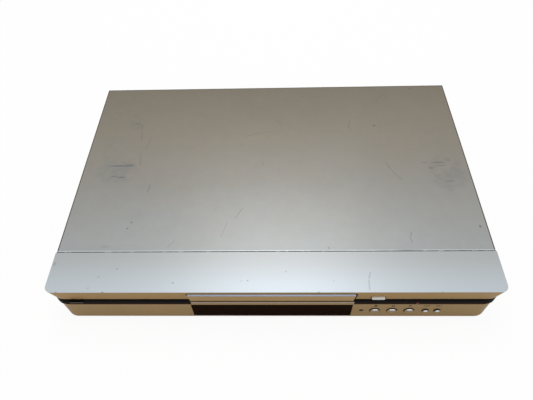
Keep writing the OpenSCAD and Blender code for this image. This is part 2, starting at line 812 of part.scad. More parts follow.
// Rod along X, centred on a point
module rod_x(x, y, z, d, length) {
    translate([x - length / 2, y, z]) rotate([0, 90, 0]) cylinder(d = d, h = length);
}

// Rack teeth that point to +X, with a gap centred on a height along Y
module rack_teeth(y_mid, y0, y1) {
    pitch = PI * rack_m;
    half_tooth = pitch / 4 - backlash / 2;
    tip = rack_m * 0.92;
    root = rack_m * 1.25;
    first = ceil((y0 - y_mid) / pitch);
    last = floor((y1 - y_mid) / pitch) - 1;
    for (k = [first : last]) {
        y = y_mid + (k + 0.5) * pitch;
        polygon([
            [-root - eps, y - half_tooth - root * tan(20)],
            [tip, y - half_tooth + tip * tan(20)],
            [tip, y + half_tooth - tip * tan(20)],
            [-root - eps, y + half_tooth + root * tan(20)]
        ]);
    }
}

module disc_tray() {
    y_end = y_tray + tray_len;
    wall = 3;
    y_well = y_disc + seat_d / 2 + wall;
    rack_back = rack_x - rack_m * 1.25;
    rack_end = gear_y + tray_travel + 13;
    ring_under = seat_floor - tray_floor_t;
    color([0.14, 0.14, 0.15]) difference() {
        union() {
            box_at([tray_x - rim_half, y_tray, tray_under], [tray_x + rim_half, y_end, tray_top]);
            box_at([tray_x - tray_w / 2, y_tray, tray_under],
                   [tray_x + tray_w / 2, y_end, tray_under + flange_t]);
            // Back of the rack
            box_at([tray_x - rim_half + 0.4, y_tray + 8, rack_under], [rack_back, y_end, ring_under + eps]);
        }
        translate([tray_x, y_disc, seat_floor]) cylinder(d = seat_d, h = seat_depth + 1, $fn = 96);
        translate([tray_x, y_disc, small_floor]) cylinder(d = small_seat_d, h = seat_depth + 4, $fn = 96);
        // Slot for the turntable and the pickup, open at the rear
        translate([tray_x, y_disc, tray_under - 1]) cylinder(d = slot_w, h = 20);
        box_at([tray_x - slot_w / 2, y_disc, tray_under - 1], [tray_x + slot_w / 2, y_end + 1, tray_top + 1]);
        // Finger recesses at the front and the sides of the seat
        translate([tray_x, y_disc - seat_d / 2, seat_floor]) cylinder(d = 26, h = seat_depth + 1);
        for (s = [-1, 1]) translate([tray_x + s * (rim_half - 12), y_disc, seat_floor])
            cylinder(d = 20, h = seat_depth + 1);
        // Space under the outer ring, where the pinion runs beside the rack
        difference() {
            box_at([rack_back, y_tray + 6, tray_under - 2],
                   [tray_x - small_seat_d / 2 - 1.5, y_end + 1, ring_under]);
            translate([0, 0, tray_under - 3]) linear_extrude(12)
                translate([rack_x, 0]) rack_teeth(gear_y, y_tray + 9, rack_end);
        }
        box_at([tray_x + small_seat_d / 2 + 1.5, y_tray + 6, tray_under - 1],
               [tray_x + rim_half - wall, y_end + 1, ring_under]);
        // Well behind the seat
        for (s = [-1, 1])
            box_at([tray_x + (s > 0 ? slot_w / 2 + wall : -rim_half + wall), y_well, seat_floor],
                   [tray_x + (s > 0 ? rim_half - wall : -slot_w / 2 - wall), y_end - wall, tray_top + 1]);
    }
}

module tray_door() {
    color([0.56, 0.47, 0.34]) {
        plate_y(y_lip - door_out, y_door_back) door_outline();
        // Rib that clips onto the tray's front
        box_at([tray_x - door_w / 2 + 6, y_door_back - eps, door_bottom + 1],
               [tray_x + door_w / 2 - 6, y_tray, tray_top + 1]);
    }
}

// Outline of an involute gear with a tooth centred on an angle
function inv(a) = tan(a) * 180 / PI - a;
function tooth_half(rho, r, teeth) =
    90 / teeth - backlash / 4 / r * 180 / PI + inv(20) - inv(acos(min(1, r * cos(20) / rho)));

module gear_outline(m, teeth, turn = 0) {
    r = m * teeth / 2;
    root = r - 1.25 * m;
    tip = r + 0.92 * m;
    foot = max(root + eps, r * cos(20));
    steps = [root, for (i = [0 : 4]) foot + (tip - foot) * i / 4];
    polygon([for (k = [0 : teeth - 1], j = [0 : 11])
        let (rho = j < 6 ? steps[j] : steps[11 - j],
             side = j < 6 ? -1 : 1,
             a = turn + k * 360 / teeth + side * tooth_half(max(rho, foot), r, teeth))
        [rho * cos(a), rho * sin(a)]]);
}

module tray_gear() {
    pinion_z = rack_under - run_gap;
    pinion_h = seat_floor - tray_floor_t - run_gap - 0.1 - pinion_z;
    color([0.85, 0.84, 0.8]) translate([gear_x, gear_y, 0]) difference() {
        union() {
            translate([0, 0, z_gear]) linear_extrude(gear_h) gear_outline(step_m, wheel_teeth);
            translate([0, 0, deck_top + run_gap]) cylinder(d = 7, h = pinion_z - deck_top);
            translate([0, 0, pinion_z]) linear_extrude(pinion_h) gear_outline(rack_m, pinion_teeth);
        }
        translate([0, 0, deck_top]) cylinder(d = pin_d + 2 * pin_play, h = pin_top - deck_top + run_gap);
    }
}

// Belt pulley with a groove between two rims
module pulley(d, h) {
    rim = d / 2 + 1.2;
    rotate_extrude() polygon([
        [0, 0], [rim, 0], [rim, 0.5], [d / 2, 1.2], [d / 2, h - 1.2], [rim, h - 0.5], [rim, h], [0, h]
    ]);
}

module pulley_gear() {
    color([0.85, 0.84, 0.8]) translate([pulley_x, gear_y, 0]) difference() {
        union() {
            translate([0, 0, z_gear]) linear_extrude(gear_h + 0.5)
                gear_outline(step_m, small_teeth, 180 + 180 / small_teeth);
            translate([0, 0, deck_top + run_gap]) cylinder(d = 6, h = 1);
            translate([0, 0, z_pulley]) pulley(pulley_d, pulley_h);
        }
        translate([0, 0, deck_top]) cylinder(d = pin_d + 2 * pin_play, h = pulley_top - deck_top + 1);
    }
}

motor_shaft_d = 2;
motor_shaft_top = pulley_top - 1.2;

module motor_pulley() {
    color([0.8, 0.8, 0.78]) translate([motor_x, gear_y, 0]) difference() {
        translate([0, 0, z_pulley]) pulley(motor_pulley_d, pulley_h);
        translate([0, 0, z_pulley - 1])
            cylinder(d = motor_shaft_d + 2 * pin_play, h = motor_shaft_top + 0.2 - z_pulley + 1);
    }
}

module drive_belt() {
    r0 = pulley_d / 2 + run_gap;
    r1 = motor_pulley_d / 2 + run_gap;
    tilt = asin((r0 - r1) / belt_span);
    color([0.07, 0.07, 0.07]) translate([pulley_x, gear_y, z_pulley + pulley_h / 2 - belt_t / 2])
        difference() {
            belt_body(r0 + belt_t, r1 + belt_t, tilt, belt_t);
            translate([0, 0, -1]) belt_body(r0, r1, tilt, belt_t + 2);
        }
}

// Two cylinders, one on each pulley's axis, and the straight run between them
module belt_body(r0, r1, tilt, h) {
    lap = 0.04;
    cylinder(r = r0, h = h);
    translate([belt_span, 0, 0]) cylinder(r = r1, h = h);
    linear_extrude(h) polygon([
        (r0 - lap) * [sin(tilt), cos(tilt)],
        [belt_span, 0] + (r1 - lap) * [sin(tilt), cos(tilt)],
        [belt_span, 0] + (r1 - lap) * [sin(tilt), -cos(tilt)],
        (r0 - lap) * [sin(tilt), -cos(tilt)]
    ]);
}

module loading_motor() {
    can_low = z_load + load_floor_t;
    can_top = deck_top - deck_floor_t;
    color([0.7, 0.7, 0.7]) translate([motor_x, gear_y, 0]) {
        translate([0, 0, can_low]) cylinder(d = motor_d, h = can_top - can_low);
        translate([0, 0, can_top - eps]) cylinder(d = motor_nose_d, h = deck_floor_t - 0.4);
        translate([0, 0, can_top]) cylinder(d = motor_shaft_d, h = motor_shaft_top - can_top);
    }
}

// Cam slider: an upright plate with a sloping slot for the lifting frame's peg
cam_y = y_frame - 6;
cam_t = 2;
cam_low = lowered_z(cam_y + cam_t / 2, peg_z);
cam_rise = peg_z - cam_low;
peg_d = 3;
function lowered_z(y, z) = z_pivot + (y - y_pivot) * sin(drop_deg) + (z - z_pivot) * cos(drop_deg);

module cam_slider() {
    play = 0.45;
    slope = atan(cam_rise / cam_travel);
    run = sqrt(cam_rise * cam_rise + cam_travel * cam_travel);
    w = peg_d + 2 * play;
    lap = 0.04;
    z_foot = z_load + load_floor_t + run_gap;
    color([0.85, 0.84, 0.8]) difference() {
        union() {
            box_at([tray_x - cam_travel - 16, cam_y, z_foot], [tray_x + 12, cam_y + cam_t, peg_z + 5]);
            box_at([tray_x - cam_travel - 30, cam_y, z_foot], [tray_x + 12, cam_y + cam_t, z_foot + 3]);
        }
        translate([tray_x, cam_y - 1, cam_low]) rotate([-90, 0, 0]) {
            cylinder(d = w, h = cam_t + 2);
            translate([-cam_travel, -cam_rise, 0]) cylinder(d = w, h = cam_t + 2);
            rotate([0, 0, 180 + slope]) translate([0, lap - w / 2, 0]) cube([run, w - 2 * lap, cam_t + 2]);
        }
    }
}

// Corners of the lifting frame that carry the rubber dampers
damper_x = half_hole + frame_bar / 2 - 1;
damper_y = [y_frame + 3.5, y_disc + deck_back - 4];

module lift_frame() {
    back = y_pivot + 4;
    color([0.16, 0.16, 0.17]) lowered() difference() {
        union() {
            box_at([tray_x - frame_half, y_frame, z_frame], [tray_x + frame_half, back, z_frame + frame_h]);
            box_at([tray_x - frame_half, y_pivot - 4, z_frame], [tray_x + frame_half, back, z_pivot + 3]);
            // Trunnions, and the peg in the cam slider's slot with its boss
            rod_x(tray_x, y_pivot, z_pivot, trunnion_d, 2 * frame_half + 11);
            rod_y(tray_x, peg_z, peg_d, y_frame - 7, y_frame + 1);
            box_at([tray_x - 5, y_frame, z_frame], [tray_x + 5, y_frame + 3, peg_z + 3]);
        }
        box_at([tray_x - half_hole, y_frame + 7, z_frame - 1],
               [tray_x + half_hole, y_pivot - 11, z_frame + frame_h + 1]);
    }
}

module rubber_dampers() {
    damper_r = 3.4;
    neck_r = 2.6;
    color([0.08, 0.08, 0.08]) lowered() for (s = [-1, 1], y = damper_y)
        translate([tray_x + s * damper_x, y, z_frame + frame_h]) difference() {
            rotate_extrude() polygon([
                [0, 0], [damper_r, 0], [damper_r, 1], [neck_r, 1.4], [neck_r, 2], [damper_r, 2.4],
                [damper_r, damper_h], [0, damper_h]
            ]);
            translate([0, 0, -1]) cylinder(d = 2, h = damper_h + 2);
        }
}

// Ends of the guide rods and of the gap in which the pickup travels
rod_y0 = y_disc + 6.6;
rod_y1 = y_disc + lens_in + pickup_travel + 19.9;
motor_boss_d = 7.4;

module traverse_deck() {
    z1 = z_deck + deck_t;
    half = frame_half - 2;
    half_gap = 20;
    post_t = 3;
    color([0.7, 0.71, 0.72]) lowered() difference() {
        union() {
            box_at([tray_x - half, y_frame + 0.5, z_deck], [tray_x + half, y_disc + deck_back, z1]);
            // Posts of the guide rods
            for (s = [-1, 1], y = [rod_y0 + 0.4, rod_y1 - 0.4 - post_t])
                box_at([tray_x + s * rod_x - 3, y, z1 - eps],
                       [tray_x + s * rod_x + 3, y + post_t, z_rod + 2.4]);
        }
        box_at([tray_x - half_gap, y_disc + 13, z_deck - 1], [tray_x + half_gap, rod_y1 - 4.4, z1 + 1]);
        translate([tray_x, y_disc, z_deck - 1]) cylinder(d = motor_boss_d + 2 * run_gap, h = 5);
        for (s = [-1, 1]) rod_y(tray_x + s * rod_x, z_rod, rod_d + 2 * pin_play, rod_y0 - 2, rod_y1 + 2);
        for (s = [-1, 1], y = damper_y) translate([tray_x + s * damper_x, y, z_deck - 1])
            cylinder(d = 2.4, h = deck_t + 2);
    }
}

spindle_shaft_d = 2;

module spindle_motor() {
    spindle_h = 7.4;
    color([0.75, 0.75, 0.76]) lowered() translate([tray_x, y_disc, 0]) {
        translate([0, 0, z_deck - spindle_h]) cylinder(d = spindle_d, h = spindle_h);
        translate([0, 0, z_deck - eps]) cylinder(d = motor_boss_d, h = deck_t + 0.6);
        translate([0, 0, z_deck]) cylinder(d = spindle_shaft_d, h = disc_level - z_deck - 1);
    }
}

module turntable() {
    z_hub = z_deck + deck_t + 1;
    // The cone centres the disc's 15 mm hole
    cone_d = 14.9;
    color([0.1, 0.1, 0.1]) lowered() translate([tray_x, y_disc, 0]) difference() {
        union() {
            translate([0, 0, z_hub]) cylinder(d = 11, h = disc_level - z_hub);
            translate([0, 0, disc_level - 2]) cylinder(d = turntable_d, h = 2);
            translate([0, 0, disc_level - eps]) cylinder(d1 = cone_d, d2 = cone_d - 2.9, h = 1.8);
        }
        translate([0, 0, z_deck]) cylinder(d = spindle_shaft_d + 2 * pin_play, h = disc_level - z_deck - 0.5);
    }
}

module guide_rods() {
    color([0.8, 0.8, 0.82]) lowered() for (s = [-1, 1])
        rod_y(tray_x + s * rod_x, z_rod, rod_d, rod_y0, rod_y1);
}

// Feed screw: where it starts behind its motor, and its plain end in the rear bearing
screw_y0 = y_disc + 12.3;
screw_len = rod_y1 + 0.3 - screw_y0;
screw_end_d = screw_d - 1;

module feed_motor() {
    x = tray_x + screw_x;
    bearing_y = screw_y0 + screw_len - 1.7;
    color([0.72, 0.72, 0.73]) lowered() {
        rod_y(x, screw_z, 12, screw_y0 - 22.3, screw_y0 - run_gap);
        box_at([x - 3, screw_y0 - 20, screw_z + 5], [x + 3, screw_y0 - 2.3, z_deck]);
        // Bearing of the screw's far end
        difference() {
            box_at([x - 3, bearing_y, screw_z - 3], [x + 3, bearing_y + 2, z_deck]);
            rod_y(x, screw_z, screw_end_d + 2 * pin_play, bearing_y - 1, bearing_y + 3);
        }
    }
}

module feed_screw() {
    r = screw_d / 2;
    groove_pitch = 2;
    groove = 0.35;
    end = screw_len - 2.4;
    color([0.82, 0.8, 0.7]) lowered() translate([tray_x + screw_x, screw_y0, screw_z]) rotate([-90, 0, 0])
        rotate_extrude() polygon([
            [0, 0], [r, 0],
            for (i = [0 : floor(end / groove_pitch) - 2]) let (y = 1 + i * groove_pitch)
                each [[r, y], [r - groove, y + 0.6], [r, y + 1.2]],
            [r, end], [screw_end_d / 2, end + 0.2], [screw_end_d / 2, screw_len], [0, screw_len]
        ]);
}

y_lens = y_disc + lens_in;

// Holder of the lens, and the well in the pickup that it moves in
holder_d = 8;
holder_low = disc_level - 8.4;
holder_h = 5.6;

module pickup_sled() {
    z0 = z_deck + deck_t + 0.4;
    z1 = z0 + 4.4;
    half_d = 9;
    body_half = 17;
    color([0.35, 0.36, 0.38]) lowered() difference() {
        union() {
            box_at([tray_x - body_half, y_lens - half_d, z_deck - 5],
                   [tray_x + body_half, y_lens + half_d, z1]);
            box_at([tray_x - rod_x - 3.4, y_lens - half_d, z0], [tray_x + rod_x + 3.4, y_lens + half_d, z1]);
            box_at([tray_x - 12, y_lens - half_d + 1, z1 - eps],
                   [tray_x + 12, y_lens + half_d, disc_level - 4.6]);
            // Arm to the feed screw
            box_at([tray_x + screw_x - 1.6, y_lens - 3, screw_z + screw_d / 2 + run_gap],
                   [tray_x - body_half + 1, y_lens + 3, z_deck - 2.4]);
        }
        for (s = [-1, 1]) rod_y(tray_x + s * rod_x, z_rod, rod_d + 2 * pin_play, y_lens - 12, y_lens + 12);
        translate([tray_x, y_lens, holder_low - 0.6]) cylinder(d = holder_d + 1, h = 9);
    }
}

module pickup_lens() {
    lens_d = 5;
    color([0.35, 0.45, 0.6]) lowered() translate([tray_x, y_lens, holder_low]) {
        cylinder(d = holder_d, h = holder_h);
        translate([0, 0, holder_h - eps]) intersection() {
            cylinder(d = lens_d, h = 1.3);
            translate([0, 0, -1.9]) sphere(d = 6);
        }
    }
}

// Clamper and the bridge that carries it over the tray
bridge_z = tray_top + 2.2;
bridge_t = 1;
bridge_half = 22;
clamp_hub_d = 20;

module clamper_bridge() {
    color([0.7, 0.71, 0.72]) difference() {
        box_at([tray_x - load_half, y_disc - bridge_half, bridge_z],
               [tray_x + load_half, y_disc + bridge_half, bridge_z + bridge_t]);
        translate([tray_x, y_disc, bridge_z - 1]) cylinder(d = clamp_hub_d + 0.8, h = 4);
        // Two openings that lighten it
        for (s = [-1, 1]) translate([tray_x + s * 42, y_disc, bridge_z]) cube([28, 24, 4], center = true);
    }
}

// The clamper's flange below the bridge and its hub through it carry the cap on top
z_clamper = tray_top + run_gap + 0.05;
z_cap = bridge_z + bridge_t + run_gap;

module clamper() {
    color([0.12, 0.12, 0.12]) translate([tray_x, y_disc, z_clamper]) difference() {
        union() {
            cylinder(d = clamper_d, h = bridge_z - run_gap - z_clamper);
            cylinder(d = clamp_hub_d, h = z_cap - z_clamper);
        }
        translate([0, 0, -1]) cylinder(d = 17, h = 1.9);
    }
}

module clamper_cap() {
    color([0.75, 0.75, 0.76]) translate([tray_x, y_disc, z_cap]) difference() {
        cylinder(d = clamper_d - 4, h = 1);
        translate([0, 0, 0.5]) cylinder(d = 12, h = 1);
    }
}

// Places on the two boards, from each board's front left corner
module on_power(x, y) {
    translate([power_at[0] + x, power_at[1] + y, z_part]) children();
}

module on_main(x, y) {
    translate([main_at[0] + x, main_at[1] + y, z_part]) children();
}

module main_board() {
    color([0.1, 0.35, 0.15]) board(main_at, main_w, main_d, main_posts);
}

module power_board() {
    color([0.62, 0.5, 0.28]) board(power_at, power_w, power_d, power_posts);
}

module main_chips() {
    chip_half = 14;
    lead_pitch = 2.6;
    color([0.08, 0.08, 0.09]) {
        // Decoder chip with leads along two sides
        on_main(64, 60) {
            box_at([-chip_half, -chip_half, 0], [chip_half, chip_half, 2]);
            for (i = [0 : 9], s = [-1, 1])
                translate([-12 + i * lead_pitch, s * (chip_half + 1) - 1.1, 0]) cube([1, 2.2, 0.6]);
        }
        // Memory, drivers and audio chips
        on_main(24, 44) cube([12, 10, 1.4]);
        on_main(24, 66) cube([20, 10, 1.4]);
        on_main(main_w - 36, 90) cube([14, 8, 1.6]);
        on_main(34, 96) cube([14, 8, 1.6]);
        // Sockets of the cables to the front board and the loader
        on_main(14, 24) cube([24, 5, 5]);
        on_main(10, 74) cube([5, 28, 5]);
    }
}

// Capacitors: place on their board, diameter and height
power_caps = [[power_w - 29, 80, 22, 30], [power_w - 29, 110, 10, 16], [power_w - 15, 110, 10, 16],
              [power_w - 15, 124, 8, 12], [power_w - 29, 124, 8, 12], [power_w - 15, 138, 10, 16]];
main_caps = [[54, 116, 6, 8], [64, 116, 6, 8], [74, 116, 6, 8], [main_w - 30, 40, 8, 11],
             [main_w - 18, 40, 8, 11], [main_w - 30, 26, 6, 8]];

module capacitor(d, h) {
    difference() {
        cylinder(d = d, h = h);
        translate([0, 0, h - 0.3]) cylinder(d = d * 0.7, h = 1);
    }
}

module board_capacitors() {
    color([0.1, 0.12, 0.3]) {
        for (c = power_caps) on_power(c[0], c[1]) capacitor(c[2], c[3]);
        for (c = main_caps) on_main(c[0], c[1]) capacitor(c[2], c[3]);
    }
}

module transformer() {
    half_w = 18;
    half_d = 15;
    yoke = 5;
    top = 26;
    color([0.75, 0.62, 0.25]) on_power(47, 60) {
        for (z = [0, top - yoke]) box_at([-half_w, -half_d, z], [half_w, half_d, z + yoke]);
        // Winding, and the core's outer legs
        box_at([-11, -11, yoke - eps], [11, 11, top - yoke + eps]);
        for (s = [-1, 1]) box_at([s * 15.5 - 2.5, -8, yoke - eps], [s * 15.5 + 2.5, 8, top - yoke + eps]);
    }
}

module heat_sink() {
    sink_h = 28;
    fin_pitch = 7;
    color([0.7, 0.71, 0.72]) on_power(57, 102) {
        box_at([-22, -1, 0], [22, 1, sink_h]);
        for (i = [0 : 6]) translate([-22 + i * fin_pitch, -8, 4]) cube([1.5, 9, sink_h - 4]);
    }
}

module mains_fuse() {
    color([0.8, 0.78, 0.7]) on_power(17, 100) {
        for (s = [-1, 1]) box_at([-4, s * 9 - 2, 0], [4, s * 9 + 2, 7]);
        rod_y(0, 4, 5, -12, 12);
    }
}

// Figure-of-eight mains inlet: housing, cavity and two pins
module mains_inlet() {
    face = y_panel + 1.6;
    inner = y_panel - 15;
    rim = 2.3;
    cavity_d = 7.6;
    mains_pin_d = 2.4;
    color([0.06, 0.06, 0.06]) difference() {
        union() {
            box_at([inlet_x - inlet_half_w, inner - 2, inlet_z - inlet_half_h],
                   [inlet_x + inlet_half_w, y_panel + eps, inlet_z + inlet_half_h]);
            box_at([inlet_x - inlet_half_w - rim, y_panel, inlet_z - inlet_half_h - rim],
                   [inlet_x + inlet_half_w + rim, face, inlet_z + inlet_half_h + rim]);
            // Stand on the power board
            box_at([inlet_x - 8, inner - 2, z_part], [inlet_x + 8, inner + 8, inlet_z]);
        }
        for (s = [-1, 1]) rod_y(inlet_x + s * inlet_pitch / 2, inlet_z, cavity_d, inner, face + 1);
        box_at([inlet_x - inlet_pitch / 2, inner, inlet_z - cavity_d / 2],
               [inlet_x + inlet_pitch / 2, face + 1, inlet_z + cavity_d / 2]);
    }
    color([0.8, 0.8, 0.8]) for (s = [-1, 1])
        rod_y(inlet_x + s * inlet_pitch / 2, inlet_z, mains_pin_d, inner - 1, face - 3);
}

// Spots of the phono jacks, the inner end of their sockets, and what steps in behind the panel
jack_cols = [-1.5, -0.5, 0.5, 1.5];
jack_root_d = jack_d - 0.5;
y_jack = y_panel - 6;
jack_face = y_panel + 0.7;

module jack_housing() {
    half = 2 * jack_pitch - run_gap;
    color([0.08, 0.08, 0.08]) difference() {
        box_at([jack_x - half, y_jack - 6, z_part], [jack_x + half, jack_face - 0.1, jack_z[1] + 6.7]);
        for (c = jack_cols, z = jack_z)
            rod_y(jack_x + c * jack_pitch, z, jack_root_d + 2 * fit, y_jack, y_panel + 2);
    }
}

module jack_shells() {
    bore = jack_d - 1.2;
    color([0.8, 0.78, 0.7]) for (c = jack_cols, z = jack_z) difference() {
        union() {
            rod_y(jack_x + c * jack_pitch, z, jack_root_d, y_jack, y_panel + 1);
            rod_y(jack_x + c * jack_pitch, z, jack_d, jack_face, y_panel + jack_out);
        }
        rod_y(jack_x + c * jack_pitch, z, bore, y_jack + 1, y_panel + jack_out + 1);
    }
}

module jack_inserts() {
    insert_d = jack_d - 1.2 - 2 * fit;
    color([0.8, 0.1, 0.1]) for (c = jack_cols, z = jack_z) difference() {
        rod_y(jack_x + c * jack_pitch, z, insert_d, y_jack + 1, y_panel + jack_out - 0.8);
        rod_y(jack_x + c * jack_pitch, z, jack_hole_d, y_panel, y_panel + jack_out + 1);
    }
}

module s_video_socket() {
    z = jack_z[0];
    ring_d = 8.8;
    core_d = 6.6;
    contact_d = 1.1;
    color([0.08, 0.08, 0.08]) difference() {
        union() {
            rod_y(svideo_x, z, svideo_d, y_panel - 10, y_panel + 1.6);
            box_at([svideo_x - 6, y_panel - 12, z_floor], [svideo_x + 6, y_panel - 3, z + 2]);
        }
        // Ring-shaped gap for the plug's shell, and four holes for its pins
        difference() {
            rod_y(svideo_x, z, ring_d, y_panel - 6, y_panel + 3);
            rod_y(svideo_x, z, core_d, y_panel - 7, y_panel + 0.6);
        }
        for (a = [45, 135, 225, 315])
            rod_y(svideo_x + 2 * cos(a), z + 2 * sin(a), contact_d, y_panel - 5, y_panel + 3);
    }
}

module flat_cables() {
    plug_h = 6;
    rise = 12;
    cable_t = 0.8;
    y0 = y_panel - 47;
    y1 = y0 + 14;
    ends = [power_at[0] + power_w - 5, main_at[0] + 6];
    front_x = main_at[0] + 18;
    front_y = main_at[1] + 24;
    board_back = y_board + pcb_t;
    color([0.85, 0.85, 0.83]) {
        // From the power board, round behind the loader, to the main board
        for (x = ends) {
            box_at([x - 2, y0, z_part], [x + 2, y1, z_part + plug_h]);
            box_at([x - cable_t / 2, y0 + 2, z_part + plug_h - eps],
                   [x + cable_t / 2, y1 - 2, z_part + rise]);
        }
        box_at([ends[0] - cable_t / 2, y0 + 2, z_part + rise - cable_t],
               [ends[1] + cable_t / 2, y1 - 2, z_part + rise]);
        // From the front board back to the main board
        box_at([front_x, board_back, z_part + 5], [front_x + 20, board_back + 4, z_part + 8]);
        box_at([front_x + 1, board_back + 4 - eps, z_part + 7 - cable_t],
               [front_x + 19, front_y, z_part + 7]);
        box_at([front_x + 1, front_y - cable_t, z_part + 5 + eps], [front_x + 19, front_y, z_part + 7]);
    }
}

module board_screws() {
    color([0.75, 0.75, 0.76]) {
        for (p = board_posts) translate([p[0], p[1], z_part]) screw(6, 1.8, 2.6, 5);
        for (p = load_posts) translate([p[0], p[1], z_load + load_foot_t]) screw(6, 1.8, 2.6, 4.5);
    }
}

front_panel();
left_trim();
right_trim();
display_window();
remote_window();
standby_lamp();
power_button();
open_button();
stop_button();
pause_button();
play_button();
skip_back_button();
skip_forward_button();
top_cover();
cover_screws();
bottom_chassis();
rear_panel();
feet();
foot_pads();
front_board();
display_tube();
key_switches();
loader_frame();
disc_tray();
tray_door();
tray_gear();
pulley_gear();
motor_pulley();
drive_belt();
loading_motor();
cam_slider();
lift_frame();
rubber_dampers();
traverse_deck();
spindle_motor();
turntable();
guide_rods();
feed_motor();
feed_screw();
pickup_sled();
pickup_lens();
clamper_bridge();
clamper();
clamper_cap();
main_board();
main_chips();
board_capacitors();
power_board();
transformer();
heat_sink();
mains_fuse();
mains_inlet();
jack_housing();
jack_shells();
jack_inserts();
s_video_socket();
flat_cables();
board_screws();
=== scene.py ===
import math

import bmesh
import bpy
from mathutils import Matrix, Vector


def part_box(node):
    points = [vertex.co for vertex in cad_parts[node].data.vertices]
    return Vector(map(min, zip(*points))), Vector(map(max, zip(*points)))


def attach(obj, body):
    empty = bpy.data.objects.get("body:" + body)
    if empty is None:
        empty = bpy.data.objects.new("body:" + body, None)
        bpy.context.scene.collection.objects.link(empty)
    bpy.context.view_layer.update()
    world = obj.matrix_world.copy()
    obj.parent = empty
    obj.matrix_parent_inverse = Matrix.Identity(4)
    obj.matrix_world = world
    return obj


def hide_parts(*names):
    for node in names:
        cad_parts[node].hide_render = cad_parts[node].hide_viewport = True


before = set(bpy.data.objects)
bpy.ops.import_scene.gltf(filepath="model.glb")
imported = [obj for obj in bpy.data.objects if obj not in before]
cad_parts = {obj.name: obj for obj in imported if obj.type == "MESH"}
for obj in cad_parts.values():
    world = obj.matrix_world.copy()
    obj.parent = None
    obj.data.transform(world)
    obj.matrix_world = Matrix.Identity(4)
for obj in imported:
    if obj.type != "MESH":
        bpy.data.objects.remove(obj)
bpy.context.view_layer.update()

# ---------------------------------------------------------------- Camera
# The player is looked down on from in front and above, from about half a metre, as a person
# standing at the shelf sees it. The lens is a little short and the horizon leans slightly.
mm = 0.001
sight_turn = math.radians(3.139)
sight_rise = math.radians(54.38)
sight_lean = math.radians(-2.986)
sight_range = 473.253 * mm
sight_target = Vector((-7.017, -37.358, 51.0)) * mm
film_width = 36.0
picture_width = 533.0
focal_length = 448.072


def placed(name, data):
    """A new object that holds this mesh, lamp or camera, put in the scene."""
    made = bpy.data.objects.new(name, data)
    bpy.context.scene.collection.objects.link(made)
    return made


sight_back = Vector((
    math.sin(sight_turn) * math.cos(sight_rise),
    -math.cos(sight_turn) * math.cos(sight_rise),
    math.sin(sight_rise),
))
sight_level = Vector((math.cos(sight_turn), math.sin(sight_turn), 0.0))
sight_upright = sight_back.cross(sight_level)
sight_right = sight_level * math.cos(sight_lean) + sight_upright * math.sin(sight_lean)
sight_up = sight_back.cross(sight_right)

camera = placed("camera", bpy.data.cameras.new("camera"))
camera.data.sensor_fit = "HORIZONTAL"
camera.data.sensor_width = film_width
# the focal length and the picture's width are in pixels, and the film's in millimetres
camera.data.lens = focal_length * film_width / picture_width
camera.data.clip_start = 0.01
turned = Matrix((sight_right, sight_up, sight_back)).transposed().to_4x4()
camera.matrix_world = Matrix.Translation(sight_target + sight_back * sight_range) @ turned
bpy.context.scene.camera = camera
bpy.context.scene.view_settings.view_transform = "Standard"


